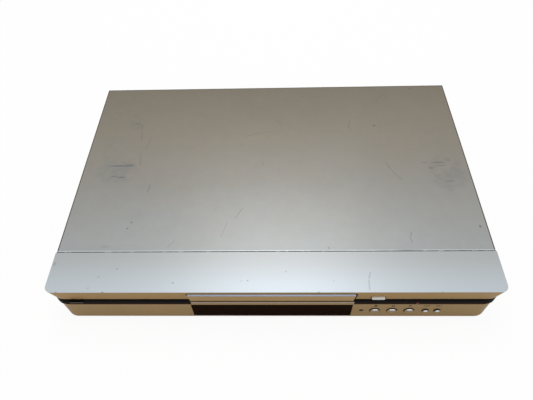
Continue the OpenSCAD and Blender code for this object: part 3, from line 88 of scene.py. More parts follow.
# ---------------------------------------------------------------- Floor and light
# A plain white table under a pale sky, with one broad soft lamp high behind the player.
# The lamp is what draws the bright patch on the front of the silver paint.
class Wire:
    """A socket of a material. Arithmetic on it adds the nodes that work the result out."""

    # where a Mix node that is set to colours has its factor, its two colours and its result
    FACTOR = 0
    FIRST = 6
    SECOND = 7
    MIXED = 2

    def __init__(self, tree, socket):
        self.tree = tree
        self.socket = socket

    def node(self, kind, settings=None, inputs=None, output=0):
        """Adds a node of a type, with its settings first and then its sockets' values or links."""
        made = self.tree.nodes.new("ShaderNode" + kind)
        for name, value in (settings or {}).items():
            if name == "stops":
                stops = made.color_ramp.elements
                while len(stops) < len(value):
                    stops.new(1.0)
                for stop, (place, colour) in zip(stops, value):
                    stop.position = place
                    stop.color = colour
            else:
                setattr(made, name, value)
        for name, value in (inputs or {}).items():
            if isinstance(value, Wire):
                self.tree.links.new(value.socket, made.inputs[name])
            else:
                made.inputs[name].default_value = value
        return Wire(self.tree, made.outputs[output])

    def reckon(self, operation, first, second):
        """One step of arithmetic: by Mix for colours, Vector Math for vectors, else by Math."""
        kinds = [item.socket.type for item in (first, second) if isinstance(item, Wire)]
        if "RGBA" in kinds:
            return self.node("Mix", {"data_type": "RGBA", "blend_type": operation},
                             {self.FACTOR: 1.0, self.FIRST: first, self.SECOND: second}, self.MIXED)
        if "VECTOR" in kinds:
            return self.node("VectorMath", {"operation": operation}, {0: first, 1: second})
        return self.node("Math", {"operation": operation}, {0: first, 1: second})

    def __add__(self, other):
        return self.reckon("ADD", self, other)

    def __radd__(self, other):
        return self.reckon("ADD", other, self)

    def __sub__(self, other):
        return self.reckon("SUBTRACT", self, other)

    def __rsub__(self, other):
        return self.reckon("SUBTRACT", other, self)

    def __mul__(self, other):
        return self.reckon("MULTIPLY", self, other)

    def __rmul__(self, other):
        return self.reckon("MULTIPLY", other, self)

    def __abs__(self):
        return self.node("Math", {"operation": "ABSOLUTE"}, {0: self})

    def most(self, other):
        """The greater of two numbers."""
        return self.reckon("MAXIMUM", self, other)

    def part(self, axis):
        """One of the three numbers of a vector."""
        return self.node("SeparateXYZ", {}, {0: self}, "XYZ".index(axis))

    def ramp(self, low, high):
        """A soft step from 0 at low to 1 at high, or falling where high is the smaller."""
        return self.node("MapRange", {"interpolation_type": "SMOOTHSTEP"},
                         {"Value": self, "From Min": low, "From Max": high})

    def rise(self, place, width):
        """A soft step that starts at a place and is over a width further on, in millimetres."""
        return self.ramp(place * mm, (place + width) * mm)

    def blend(self, low, high):
        """The colour low where this is 0, and high where it is 1."""
        return self.node("Mix", {"data_type": "RGBA"},
                         {self.FACTOR: self, self.FIRST: low, self.SECOND: high}, self.MIXED)


def shade(level):
    """A grey that darkens or lightens another colour when it is multiplied by it."""
    return (level, level, level, 1.0)


def new_finish(name):
    """A new material, and the place of each point on the part, in metres."""
    material = bpy.data.materials.new(name)
    material.use_nodes = True
    shader = material.node_tree.nodes["Principled BSDF"]
    return material, Wire(material.node_tree, shader.outputs[0]).node("TexCoord", output="Object")


def set_finish(material, values):
    """Gives the material's shader its constants and its wired sockets."""
    shader = material.node_tree.nodes["Principled BSDF"]
    for name, value in values.items():
        if isinstance(value, Wire):
            material.node_tree.links.new(value.socket, shader.inputs[name])
        else:
            shader.inputs[name].default_value = value


# the sky lights the player at this level, and shows white to the eye and in reflections
sky_level = 0.62
sky = bpy.data.worlds.new("pale_sky")
bpy.context.scene.world = sky
sky.use_nodes = True
air = sky.node_tree.nodes["Background"]
air.inputs["Color"].default_value = shade(1.0)
in_air = Wire(sky.node_tree, air.outputs[0])
seen = in_air.node("LightPath", output="Is Camera Ray")
for ray in ("Is Glossy Ray", "Is Transmission Ray"):
    seen = seen.most(in_air.node("LightPath", output=ray))
sky.node_tree.links.new((seen * (1.0 - sky_level) + sky_level).socket, air.inputs["Strength"])

lamp_aim = Vector((0.0, -0.1, 0.05))
lamp = placed("soft_lamp", bpy.data.lights.new("soft_lamp", "AREA"))
lamp.data.shape = "RECTANGLE"
lamp.data.size = 0.62
lamp.data.size_y = 0.8
lamp.data.energy = 7.0
lamp.location = (0.0, 0.42, 1.35)
lamp.rotation_euler = (lamp_aim - lamp.location).to_track_quat("-Z", "Y").to_euler()

floor_half = 12.0
floor_mesh = bpy.data.meshes.new("table_top")
floor_corners = [(-floor_half, -floor_half, 0), (floor_half, -floor_half, 0),
                 (floor_half, floor_half, 0), (-floor_half, floor_half, 0)]
floor_mesh.from_pydata(floor_corners, [], [(0, 1, 2, 3)])
floor = placed("table_top", floor_mesh)

floor_paint, on_floor = new_finish("white_table")
set_finish(floor_paint, {
    "Base Color": on_floor.node("TexNoise", {}, {"Scale": 3.0}).blend(shade(0.985), shade(0.99)),
    "Roughness": 0.9,
    "Specular IOR Level": 0.0,
})
# to the eye the table is nearly all glow, so that it stays white but still takes the shadow
glow_share = 0.93
floor_tree = floor_paint.node_tree
matt_white = Wire(floor_tree, floor_tree.nodes["Principled BSDF"].outputs[0])
glow = on_floor.node("Emission", {}, {"Color": shade(1.0), "Strength": 1.0})
eye_rays = on_floor.node("LightPath", output="Is Camera Ray")
pale_floor = on_floor.node("MixShader", {}, {0: eye_rays * glow_share, 1: matt_white, 2: glow})
# from below it is clear, so that the player's underside can be seen
underside = on_floor.node("NewGeometry", output="Backfacing")
clear = on_floor.node("BsdfTransparent")
pale_floor = on_floor.node("MixShader", {}, {0: underside, 1: pale_floor, 2: clear})
floor_tree.links.new(pale_floor.socket, floor_tree.nodes["Material Output"].inputs["Surface"])
floor_mesh.materials.append(floor_paint)


# ---------------------------------------------------------------- Bottom chassis
# A tray pressed from zinc-plated sheet steel, with a low wall along each side and posts for
# the inner parts that it carries. The bright plating shows its crystals and dull marks.
def paint(red, green, blue):
    """A colour as a paint card gives it, 0 to 255, worked out for the shaders."""
    parts = [value / 255.0 for value in (red, green, blue)]
    return tuple(v / 12.92 if v <= 0.04045 else ((v + 0.055) / 1.055) ** 2.4 for v in parts) + (1.0,)


def noise(where, size, detail=2.0, rough=0.5):
    """Cloudy noise from 0 to 1 whose blotches are about size across."""
    return where.node("TexNoise", {}, {
        "Vector": where, "Scale": 1.0 / size, "Detail": detail, "Roughness": rough})


def cells(where, size, output="Color"):
    """Random cells about size across: a colour each, or the distance from their middle."""
    return where.node("TexVoronoi", {}, {"Vector": where, "Scale": 1.0 / size}, output)


def bumped(relief, depth, strength=0.6):
    """The normal of a surface whose relief, 0 to 1, is so deep."""
    return relief.node("Bump", {}, {
        "Height": relief, "Distance": depth, "Strength": strength}, "Normal")


def dress(material, *nodes):
    """Paints carried-over nodes with a finish."""
    for node in nodes:
        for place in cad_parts[node].material_slots:
            place.material = material


zinc, where = new_finish("zinc_plating")
crystals = cells(where, 5 * mm).part("X")
clouds = noise(where, 30 * mm, 3.0)
grain = noise(where * (1.0, 14.0, 1.0), 0.6 * mm, 1.0)
mottle = crystals * 0.35 + clouds * 0.4 + grain * 0.25
set_finish(zinc, {
    "Base Color": mottle.blend(paint(158, 160, 160), paint(198, 201, 203)),
    "Metallic": 0.85,
    "Roughness": 0.34 + 0.14 * clouds + 0.06 * crystals,
    "Normal": bumped(grain, 0.02 * mm, 0.3),
})
dress(zinc, "bottom_chassis")


# ---------------------------------------------------------------- Feet
# Four round black feet moulded in hard plastic, each pinned into the chassis, with a grey
# rubber pad pushed into its underside. The plastic has a fine spark-eroded texture.
def two_toned(name, dark, light, blotch, roughness, spread, speck, pits=None, constants=None):
    """A plain moulded or plated finish: two tones in blotches of one size, a roughness that
    rises by up to spread in specks of another, and pits, if any, of a size and a depth."""
    material, where = new_finish(name)
    values = dict(constants or {})
    values["Base Color"] = noise(where, blotch).blend(dark, light)
    values["Roughness"] = roughness + spread * noise(where, speck)
    if pits:
        pit_size, pit_depth = pits
        values["Normal"] = bumped(noise(where, pit_size), pit_depth)
    set_finish(material, values)
    return material


foot_black = two_toned("foot_plastic", paint(26, 26, 27), paint(38, 38, 39), blotch=8 * mm,
                       roughness=0.55, spread=0.15, speck=0.5 * mm, pits=(0.5 * mm, 0.05 * mm))
dress(foot_black, "feet")

pad_rubber, where = new_finish("pad_rubber")
dust = noise(where, 3 * mm, 4.0)
set_finish(pad_rubber, {
    "Base Color": dust.blend(paint(44, 43, 42), paint(74, 71, 68)),
    "Roughness": 0.86,
    "Normal": bumped(noise(where, 0.4 * mm), 0.05 * mm),
})
dress(pad_rubber, "foot_pads")

# ---------------------------------------------------------------- Rear panel
# A flat plate of the same zinc-plated steel that stands on the chassis, pierced for the
# sockets and for a row of cooling slots. It is left bare, with a faint lengthwise grain.
rear_zinc, where = new_finish("rear_plating")
rear_crystals = cells(where, 4 * mm).part("X")
rolled = noise(where * (1.0, 1.0, 18.0), 1.2 * mm, 1.0)
smear = noise(where, 26 * mm, 3.0)
rear_mottle = rear_crystals * 0.3 + rolled * 0.3 + smear * 0.4
set_finish(rear_zinc, {
    "Base Color": rear_mottle.blend(paint(150, 151, 150), paint(194, 196, 197)),
    "Metallic": 0.85,
    "Roughness": 0.36 + 0.16 * smear,
    "Normal": bumped(rolled, 0.02 * mm, 0.3),
})
dress(rear_zinc, "rear_panel")

# ---------------------------------------------------------------- Mains inlet and sockets
# A black two-pin inlet set in the rear plate, a block of eight turned phono sockets in a
# black housing, each with a coloured insulating ring, and a round four-pin socket.
inlet_black = two_toned("inlet_plastic", paint(17, 17, 18), paint(27, 27, 28), blotch=5 * mm,
                        roughness=0.36, spread=0.12, speck=2 * mm, pits=(0.6 * mm, 0.03 * mm))
dress(inlet_black, "mains_inlet", "s_video_socket", "jack_housing")

shell_nickel, where = new_finish("socket_nickel")
turned_rings = noise(where * (1.0, 12.0, 1.0), 1.0 * mm, 1.0)
set_finish(shell_nickel, {
    "Base Color": turned_rings.blend(paint(188, 186, 180), paint(226, 224, 218)),
    "Metallic": 1.0,
    "Roughness": 0.2 + 0.12 * turned_rings,
    "Normal": bumped(turned_rings, 0.02 * mm, 0.3),
})
dress(shell_nickel, "jack_shells")

# four pairs side by side: these three lines divide them, and one level divides their rows
pair_lines = (114.0, 128.0, 142.0)
row_level = 28.0
divide = 0.1
ring_plastic, where = new_finish("socket_rings")
across = where.part("X")
upper_half = where.part("Z").ramp((row_level - divide) * mm, (row_level + divide) * mm)
inner_pair = across.ramp((pair_lines[0] + divide) * mm, (pair_lines[0] - divide) * mm)
third_pair = across.ramp((pair_lines[1] - divide) * mm, (pair_lines[1] + divide) * mm)
outer_pair = across.ramp((pair_lines[2] - divide) * mm, (pair_lines[2] + divide) * mm)
red = paint(170, 30, 26)
white = paint(214, 212, 204)
yellow = paint(214, 172, 34)
green = paint(30, 112, 58)
blue = paint(34, 62, 132)
upper_row = outer_pair.blend(third_pair.blend(inner_pair.blend(green, yellow), blue), red)
lower_row = outer_pair.blend(third_pair.blend(inner_pair.blend(white, yellow), white), red)
faded = noise(where, 2 * mm)
set_finish(ring_plastic, {
    "Base Color": upper_half.blend(lower_row, upper_row) * faded.blend(shade(0.86), shade(1.0)),
    "Roughness": 0.38 + 0.1 * faded,
})
dress(ring_plastic, "jack_inserts")


# ---------------------------------------------------------------- Circuit boards
# Glass laminate under green solder mask for the main board, and plain tan paper laminate for
# the supply and the front strip. The two flat boards are screwed to posts on the chassis, and
# all three carry slightly raised tracks with tinned pads.
def lane(along, pitch):
    """How far across its own lane a point lies, 0 to 1, where lanes repeat at a pitch."""
    count = along * (1.0 / pitch)
    return count.node("Math", {"operation": "FRACT"}, {0: count})


def laminate(name, ground, track, tin, pitch):
    """A board's finish: ground, slightly raised tracks and tinned pads on one pitch."""
    material, where = new_finish(name)
    wander = noise(where, 9 * mm, 1.0) * (6 * mm)
    stripe = lane(where.part("X") + wander, pitch)
    routed = noise(where, 14 * mm, 1.0).ramp(0.46, 0.5)
    lines = stripe.ramp(0.42, 0.5) * stripe.ramp(0.92, 0.84) * routed
    pads = cells(where, 3.4 * mm, "Distance").ramp(0.26, 0.2)
    set_finish(material, {
        "Base Color": pads.blend(lines.blend(ground, track), tin),
        "Metallic": pads * 0.8,
        "Roughness": 0.42 - 0.1 * pads,
        "Normal": bumped(lines + pads, 0.04 * mm),
    })
    return material


def outward(where, axis):
    """How squarely the surface faces along an axis, from -1 to 1."""
    return where.node("TexCoord", output="Normal").part(axis)


green_laminate = laminate("main_board_mask", paint(14, 74, 40), paint(30, 108, 62),
                          paint(176, 178, 176), 1.6 * mm)
dress(green_laminate, "main_board")
tan_laminate = laminate("supply_board_paper", paint(168, 128, 76), paint(142, 104, 60),
                        paint(170, 170, 166), 3.2 * mm)
dress(tan_laminate, "power_board", "front_board")

chip_black = two_toned("chip_epoxy", paint(24, 24, 25), paint(36, 36, 37), blotch=1.5 * mm,
                       roughness=0.5, spread=0.16, speck=0.4 * mm, pits=(0.3 * mm, 0.02 * mm))
dress(chip_black, "main_chips")

# each capacitor is an aluminium can in a blue shrunk sleeve that leaves its top bare
can_sleeve, where = new_finish("capacitor_sleeve")
bare_top = outward(where, "Z").ramp(0.7, 0.9)
sleeve_blue = noise(where, 3 * mm).blend(paint(20, 34, 70), paint(34, 50, 92))
set_finish(can_sleeve, {
    "Base Color": bare_top.blend(sleeve_blue, paint(176, 177, 178)),
    "Metallic": bare_top * 0.9,
    "Roughness": 0.32 + 0.1 * noise(where, 1 * mm),
})
dress(can_sleeve, "board_capacitors")

tape_yellow, where = new_finish("transformer_tape")
wraps = noise(where * (1.0, 1.0, 22.0), 6 * mm, 1.0)
set_finish(tape_yellow, {
    "Base Color": wraps.blend(paint(186, 148, 34), paint(214, 180, 66)),
    "Roughness": 0.4 + 0.12 * wraps,
    "Normal": bumped(wraps, 0.06 * mm),
})
dress(tape_yellow, "transformer")

fin_aluminium, where = new_finish("heat_sink_aluminium")
drawn = noise(where * (24.0, 24.0, 1.0), 20 * mm, 1.0)
set_finish(fin_aluminium, {
    "Base Color": drawn.blend(paint(148, 150, 152), paint(182, 184, 186)),
    "Metallic": 0.9,
    "Roughness": 0.34 + 0.12 * drawn,
})
dress(fin_aluminium, "heat_sink")

# the fuse is a glass tube between two plated caps
cap_front = 60.0
cap_rear = 74.0
cap_edge = 0.5
fuse_glass, where = new_finish("fuse_glass")
along_fuse = where.part("Y")
front_cap = along_fuse.rise(cap_front, -cap_edge)
rear_cap = along_fuse.rise(cap_rear, cap_edge)
capped = front_cap.most(rear_cap)
cloudy_glass = noise(where, 1 * mm).blend(paint(150, 162, 160), paint(186, 196, 194))
set_finish(fuse_glass, {
    "Base Color": capped.blend(cloudy_glass, paint(190, 190, 186)),
    "Metallic": capped,
    "Roughness": 0.14 + 0.14 * capped,
})
dress(fuse_glass, "mains_fuse")

wire_pitch = 1.25 * mm
ribbon_white, where = new_finish("ribbon_cable")
strand = lane(where.part("X"), wire_pitch)
ribs = strand.ramp(0.0, 0.3) * strand.ramp(1.0, 0.7)
set_finish(ribbon_white, {
    "Base Color": ribs.blend(paint(168, 168, 164), paint(214, 214, 210)),
    "Roughness": 0.44 + 0.1 * noise(where, 4 * mm),
    "Normal": bumped(ribs, 0.1 * mm),
})
dress(ribbon_white, "flat_cables")

screw_zinc = two_toned("screw_plating", paint(168, 164, 152), paint(204, 200, 190), blotch=1 * mm,
                       roughness=0.3, spread=0.12, speck=0.6 * mm, constants={"Metallic": 0.9})
dress(screw_zinc, "board_screws")

# ---------------------------------------------------------------- Front strip parts
# The fluorescent display tube and the row of push switches soldered to the front strip, all
# behind the fascia. The tube is evacuated glass over a dark anode plate.
tube_glass, where = new_finish("display_tube_glass")
anodes = cells(where * (1.0, 1.0, 0.7), 4.5 * mm, "Distance").ramp(0.3, 0.24)
set_finish(tube_glass, {
    "Base Color": anodes.blend(paint(20, 22, 24), paint(52, 60, 62)),
    "Roughness": 0.12 + 0.05 * anodes,
    "Coat Weight": 0.6,
})
dress(tube_glass, "display_tube")

switch_black = two_toned("switch_plastic", paint(20, 20, 21), paint(34, 34, 35), blotch=2 * mm,
                         roughness=0.45, spread=0.12, speck=0.8 * mm)
dress(switch_black, "key_switches")

# ---------------------------------------------------------------- Disc loader
# The frame that the tray runs in, screwed down to the chassis, with its gears, cam and motor.
# The frame is black filled plastic, the gears are white acetal and the belt is ground rubber.
loader_black, where = new_finish("loader_plastic")
flow = noise(where * (1.0, 0.3, 1.0), 16 * mm, 3.0)
set_finish(loader_black, {
    "Base Color": flow.blend(paint(22, 22, 23), paint(36, 36, 37)),
    "Roughness": 0.46 + 0.16 * noise(where, 1.5 * mm),
    "Normal": bumped(noise(where, 0.5 * mm), 0.03 * mm),
})
dress(loader_black, "loader_frame", "cam_slider", "lift_frame")

gear_acetal, where = new_finish("gear_acetal")
set_finish(gear_acetal, {
    "Base Color": noise(where, 5 * mm, 3.0).blend(paint(206, 202, 188), paint(228, 225, 214)),
    "Roughness": 0.34 + 0.1 * noise(where, 1 * mm),
    "Subsurface Weight": 0.1,
})
dress(gear_acetal, "tray_gear", "pulley_gear", "motor_pulley", "clamper")

belt_rubber = two_toned("belt_rubber", paint(18, 18, 18), paint(34, 33, 32), blotch=2 * mm,
                        roughness=0.72, spread=0.1, speck=0.6 * mm)
dress(belt_rubber, "drive_belt", "rubber_dampers")

motor_steel, where = new_finish("motor_can_steel")
drawn_steel = noise(where * (1.0, 1.0, 10.0), 3 * mm)
set_finish(motor_steel, {
    "Base Color": drawn_steel.blend(paint(166, 168, 168), paint(204, 206, 208)),
    "Metallic": 0.95,
    "Roughness": 0.24 + 0.12 * noise(where, 6 * mm),
})
dress(motor_steel, "loading_motor", "feed_motor", "spindle_motor", "guide_rods", "feed_screw")

# ---------------------------------------------------------------- Traverse and clamp
# The steel deck that lifts to meet the disc, with spindle, sled and lens, and the bridge over
# it whose white clamper presses the disc down. The deck and bridge are zinc-plated pressings.
dress(zinc, "traverse_deck", "clamper_bridge", "clamper_cap")

table_black = two_toned("turntable_plastic", paint(28, 28, 29), paint(44, 44, 45), blotch=3 * mm,
                        roughness=0.4, spread=0.14, speck=1 * mm)
dress(table_black, "turntable", "pickup_sled")

lens_coating = two_toned("lens_coating", paint(18, 26, 58), paint(40, 34, 84), blotch=2 * mm,
                         roughness=0.06, spread=0.05, speck=1 * mm, constants={"Coat Weight": 1.0})
dress(lens_coating, "pickup_lens")

# ---------------------------------------------------------------- Disc tray
# The drawer that carries the disc out, moulded in black plastic with a dished seat for a
# large disc and a smaller one inside it. Its top is finely textured, and its rim is paler.
seat_level = 39.4
rim_level = 44.5
tray_black, where = new_finish("tray_plastic")
texture = noise(where, 0.45 * mm, 2.0)
handling = noise(where, 24 * mm, 4.0)
above_rim = where.part("Z").rise(rim_level, 0.4)
above_seat = where.part("Z").rise(seat_level, 0.8)
rim_tone = handling.blend(paint(34, 34, 35), paint(46, 46, 47))
seat_tone = above_seat.blend(paint(17, 17, 18), paint(24, 24, 25))
set_finish(tray_black, {
    "Base Color": above_rim.blend(seat_tone, rim_tone),
    "Roughness": 0.36 + 0.14 * texture + 0.08 * handling,
    "Normal": bumped(texture, 0.04 * mm),
})
dress(tray_black, "disc_tray")

# ---------------------------------------------------------------- Fascia
# The plastic front moulding: a deep top face, two bands of front face and a groove between
# them for the black strips. Tops are sprayed silver, over rolled edges, and the fronts carry a
# painted warm reflection in champagne tan.
top_level = 51.0
seam_line = -99.5473
lip_line = -142.0473
upper_foot = 37.4
upper_slope = 0.5 / (top_level - upper_foot)
lower_top = 32.0
lower_foot = 6.0
lower_out = 3.6
lower_slope = 1.4 / (lower_top - lower_foot)
slack = 0.05


def upper_face(z):
    """Where the upper band's leaning face stands at a height, in millimetres."""
    return lip_line - (top_level - z) * upper_slope


def lower_face(z):
    """The same for the lower band, whose top edge stands further out."""
    return lip_line - lower_out - (lower_top - z) * lower_slope


def eased(node, piece, body, rounds):
    """A copy of a pressing or moulding with some sharp edges rolled over: each round is a
    radius, its steps and the test that picks the edges. It stands for the node."""
    weld = 2e-6
    flat_limit = math.radians(0.6)
    smooth_limit = math.radians(32)
    sharp_limit = math.radians(35)
    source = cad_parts[node]
    work = bmesh.new()
    work.from_mesh(source.data)
    bmesh.ops.remove_doubles(work, verts=work.verts, dist=weld)
    bmesh.ops.dissolve_limit(work, angle_limit=flat_limit, verts=work.verts, edges=work.edges)
    for radius, steps, picks in rounds:
        sharp = [e for e in work.edges if len(e.link_faces) == 2
                 and e.calc_face_angle(0) > sharp_limit and picks(*(v.co for v in e.verts))]
        bmesh.ops.bevel(work, geom=sharp, offset=radius, offset_type="OFFSET", segments=steps,
                        profile=0.5, affect="EDGES", clamp_overlap=True)
    for face in work.faces:
        face.smooth = True
    for edge in work.edges:
        edge.smooth = len(edge.link_faces) == 2 and edge.calc_face_angle(0) < smooth_limit
    mesh = bpy.data.meshes.new(piece)
    work.to_mesh(mesh)
    work.free()
    made = placed(piece, mesh)
    made.modifiers.new("flat_faces", "WEIGHTED_NORMAL").keep_sharp = True
    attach(made, body)
    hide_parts(node)
    return made


def at_top(a, b):
    """Whether an edge lies in the level top of the fascia or the cover."""
    return min(a.z, b.z) > (top_level - slack) * mm


def on_lip(a, b):
    ahead_of_seam = max(a.y, b.y) < (seam_line - 0.5) * mm
    along_side = abs(a.x - b.x) < 0.1 * mm and abs(a.y - b.y) > 10 * mm
    return at_top(a, b) and (ahead_of_seam or along_side)


def on_fascia_seam(a, b):
    return at_top(a, b) and min(a.y, b.y) > (seam_line - slack) * mm


def on_band_foot(a, b):
    return max(a.z, b.z) < (lower_foot + slack) * mm and max(a.y, b.y) < -120 * mm


fascia = eased("front_panel", "fascia_moulding", "root",
               [(0.8 * mm, 4, on_lip), (0.45 * mm, 3, on_fascia_seam), (0.5 * mm, 2, on_band_foot)])


def between(value, low, high, soft, soft_high=None):
    """1 between two limits in millimetres and 0 outside them, softened inwards: by the same
    width at both limits, or by another at the high one."""
    return value.rise(low, soft) * value.rise(high, -(soft_high or soft))


def streak(where, start, end, width):
    """A hairline from start to end on the top, in millimetres, 1 on the line and 0 beside it."""
    ax, ay, bx, by = (value * mm for value in (*start, *end))
    length = math.hypot(bx - ax, by - ay)
    ux = (bx - ax) / length
    uy = (by - ay) / length
    dx = where.part("X") - ax
    dy = where.part("Y") - ay
    along = dx * ux + dy * uy
    aside = abs(dx * uy - dy * ux)
    inside = along.ramp(0.0, 0.15 * length) * along.ramp(length, 0.85 * length)
    return aside.ramp(width * mm, 0.3 * width * mm) * inside


def smudge(where, middle, half_wide, half_deep):
    """A soft patch on the top, in millimetres, 1 in its middle and 0 at its rim."""
    dx = (where.part("X") - middle[0] * mm) * (1.0 / (half_wide * mm))
    dy = (where.part("Y") - middle[1] * mm) * (1.0 / (half_deep * mm))
    return (dx * dx + dy * dy).ramp(1.0, 0.2)


def gathered(where, kind, marks):
    """One mask made of many marks of a kind, each with its own strength as its last value."""
    shapes = [kind(where, *mark) * strength for *mark, strength in marks]
    found = shapes[0]
    for shape in shapes[1:]:
        found = found.most(shape)
    return found


def joint_shade_patches(where):
    """How strongly painted shade lies along the joint of cover and fascia, from 0.55 to 1."""
    return 0.55 + 0.45 * noise(where, 6 * mm, 3.0).ramp(0.36, 0.52)


# the colour of the painted shade in the joint of cover and fascia
joint_shade_black = paint(22, 25, 30)
fascia_silver_and_reflection, where = new_finish("fascia_silver_painted_reflection")
across, depth, height = (where.part(axis) for axis in "XYZ")
topside = outward(where, "Z").ramp(0.42, 0.62)
fascia_flakes = noise(where, 0.6 * mm, 2.0)

# silver on what faces up, with a painted highlight that grows lighter towards the lip, and in its
# own tones on the door's two ledges, which change a little behind the front edge of each: on the
# lower ledge, painted shade behind and a painted highlight along the front edge
lightest_line = -142
upper_ledge = (44, 49)
upper_ledge_edge = -143.2
lower_ledge = (34.8, 36.2)
lower_ledge_edge = -144.75
silver = depth.ramp(seam_line * mm, lightest_line * mm).blend(
    paint(172, 175, 176), paint(188, 197, 203))
upper_ledge_tone = depth.rise(upper_ledge_edge, -0.6).blend(
    paint(186, 192, 206), paint(142, 154, 182))
silver = between(height, *upper_ledge, 1, 0.5).blend(silver, upper_ledge_tone)
lower_ledge_shade_and_highlight = depth.rise(lower_ledge_edge, -0.25).blend(
    paint(70, 62, 56), paint(206, 208, 214))
silver = between(height, *lower_ledge, 0.4, 0.2).blend(silver, lower_ledge_shade_and_highlight)
silver = silver * fascia_flakes.blend(shade(0.95), shade(1.04))

# painted shade lies just under the top in the rolled edge that meets the cover, in patches
groove_shade_from = -100.4
groove_shade_below = 50.98
seam_groove_shade = depth.rise(groove_shade_from, 0.2) * height.rise(groove_shade_below, -0.13)
silver = (seam_groove_shade * joint_shade_patches(where)).blend(silver, joint_shade_black)

# chips along the lip, specks on the top and one long scratch
specks = gathered(where, smudge, [
    ((-150.0, -117.4), 1.4, 1.0, 0.6), ((-166.0, -126.1), 1.1, 0.9, 0.6),
    ((-173.5, -137.5), 1.8, 1.0, 0.35), ((-212.4, -112.0), 1.6, 2.4, 0.5),
    ((-93.9, -132.4), 1.6, 1.0, 0.5), ((-23.4, -130.0), 1.1, 0.9, 0.8),
    ((-29.8, -130.5), 1.3, 0.8, 0.5), ((12.3, -120.8), 1.3, 1.0, 0.5),
    ((57.0, -130.6), 1.2, 0.8, 0.4), ((-158.8, -141.9), 1.7, 0.9, 1.0),
    ((-202.8, -141.5), 1.4, 0.9, 0.8), ((-56.6, -141.8), 1.1, 0.7, 0.6),
    ((42.2, -141.8), 1.6, 0.8, 0.9), ((154.7, -141.8), 1.2, 0.7, 0.7),
])
specks = specks * noise(where, 1.3 * mm, 3.0).ramp(0.3, 0.55) * 0.7
scratch = gathered(where, streak, [
    ((91.9, -120.9), (89.4, -128.9), 0.8, 0.3), ((89.4, -128.5), (88.9, -140.6), 0.8, 0.3),
])
top_colour = scratch.most(specks).blend(silver, paint(62, 66, 76))

# painted warm reflection of a brown table, in champagne tan, on what faces forward, a little
# lighter on the upper band and on the door
upper_band_from = 35
door_face = -143.9
door_foot = 35.5
warm_reflection_clouds = noise(where, 40 * mm, 3.0)
on_upper = height.rise(upper_band_from, 2)
darker_warm_reflection = on_upper.blend(paint(151, 121, 73), paint(160, 127, 75))
lighter_warm_reflection = on_upper.blend(paint(159, 129, 81), paint(168, 135, 83))
warm_reflection = warm_reflection_clouds.blend(darker_warm_reflection, lighter_warm_reflection)
warm_reflection = warm_reflection * fascia_flakes.blend(shade(0.93), shade(1.05))
on_door = depth.rise(door_face, -0.4) * height.rise(door_foot, 0.5)
warm_reflection = warm_reflection * on_door.blend(shade(1.0), (1.12, 1.12, 1.1, 1))

# painted shade in the bores and the drawer's opening, behind the face, which stay dark there
key_field = (80, 166)
opening_across = (-83, 108)
opening_upwards = (36.2, 50)
behind_lower = (depth - height * lower_slope).rise(lower_face(0) + 0.3, 0.2)
key_bore_shade = behind_lower * height.rise(lower_top - 0.1, -0.2) * between(across, *key_field, 0.5)
behind_upper = (depth - height * upper_slope).rise(upper_face(0) + 0.2, 0.2)
drawer_opening_shade = (behind_upper * between(height, *opening_upwards, 0.2)
                  * between(across, *opening_across, 0.5))
# painted shade in dark brown on the ledge that faces up under the strips
strip_ledge_shade = between(height, lower_top - 0.4, lower_top + 0.6, 0.2) * topside
front_colour = topside.blend(warm_reflection, strip_ledge_shade.blend(top_colour, paint(84, 60, 42)))
set_finish(fascia_silver_and_reflection, {
    "Base Color": key_bore_shade.most(drawer_opening_shade).blend(front_colour, paint(20, 17, 14)),
    "Metallic": 0.22,
    "Roughness": 0.34 + 0.06 * fascia_flakes,
    "Specular IOR Level": 0.3,
    "Normal": bumped(fascia_flakes, 0.01 * mm, 0.35),
})
fascia.data.materials.append(fascia_silver_and_reflection)

# ---------------------------------------------------------------- Black strips
# Two gloss black strips pressed into the groove between the bands, one each side of the tray
# door. They turn the corners, and their lower half and lower edge are painted warm brown as a
# reflection.
strip_middle = 35.2
strip_foot = 33.0
strip_black, where = new_finish("strip_gloss")
# painted warm brown reflection on the lower half, stronger at the lower edge
reflection_low_half = where.part("Z").rise(strip_middle, -0.8)
reflection_low_edge = where.part("Z").rise(strip_foot, -0.6)
strip_black_and_reflection = reflection_low_edge.blend(reflection_low_half.blend(paint(4, 5, 4), paint(29, 25, 22)), paint(58, 38, 28))
set_finish(strip_black, {
    "Base Color": strip_black_and_reflection * noise(where, 12 * mm, 3.0).blend(shade(0.85), shade(1.1)),
    "Roughness": 0.22 + 0.08 * noise(where, 3 * mm),
    "Specular IOR Level": 0.05,
})
dress(strip_black, "left_trim", "right_trim")

# the power key lies in the left strip, and its lower half is painted paler as a reflection
reflection_below = 35.0
power_black, where = new_finish("power_key_gloss")
reflected_lower_half = where.part("Z").rise(reflection_below, -0.6).blend(paint(12, 12, 12), paint(104, 94, 92))
set_finish(power_black, {
    "Base Color": reflected_lower_half * noise(where, 3 * mm).blend(shade(0.9), shade(1.1)),
    "Roughness": 0.24 + 0.08 * noise(where, 2 * mm),
    "Specular IOR Level": 0.05,
})
dress(power_black, "power_button")

# ---------------------------------------------------------------- Windows and lamp
# A flush window of smoked acrylic before the display, a round one of the same for the remote
# eye, and the small red standby lamp in the strip.
smoked, where = new_finish("smoked_acrylic")
dusted = noise(where, 7 * mm, 4.0)
set_finish(smoked, {
    "Base Color": dusted.blend(paint(28, 17, 13), paint(36, 25, 19)),
    "Roughness": 0.2 + 0.1 * dusted,
    "Specular IOR Level": 0.0,
})
dress(smoked, "display_window", "remote_window")

lamp_red = two_toned("lamp_red", paint(70, 22, 8), paint(98, 34, 12), blotch=0.5 * mm,
                     roughness=0.22, spread=0.08, speck=1 * mm)
dress(lamp_red, "standby_lamp")

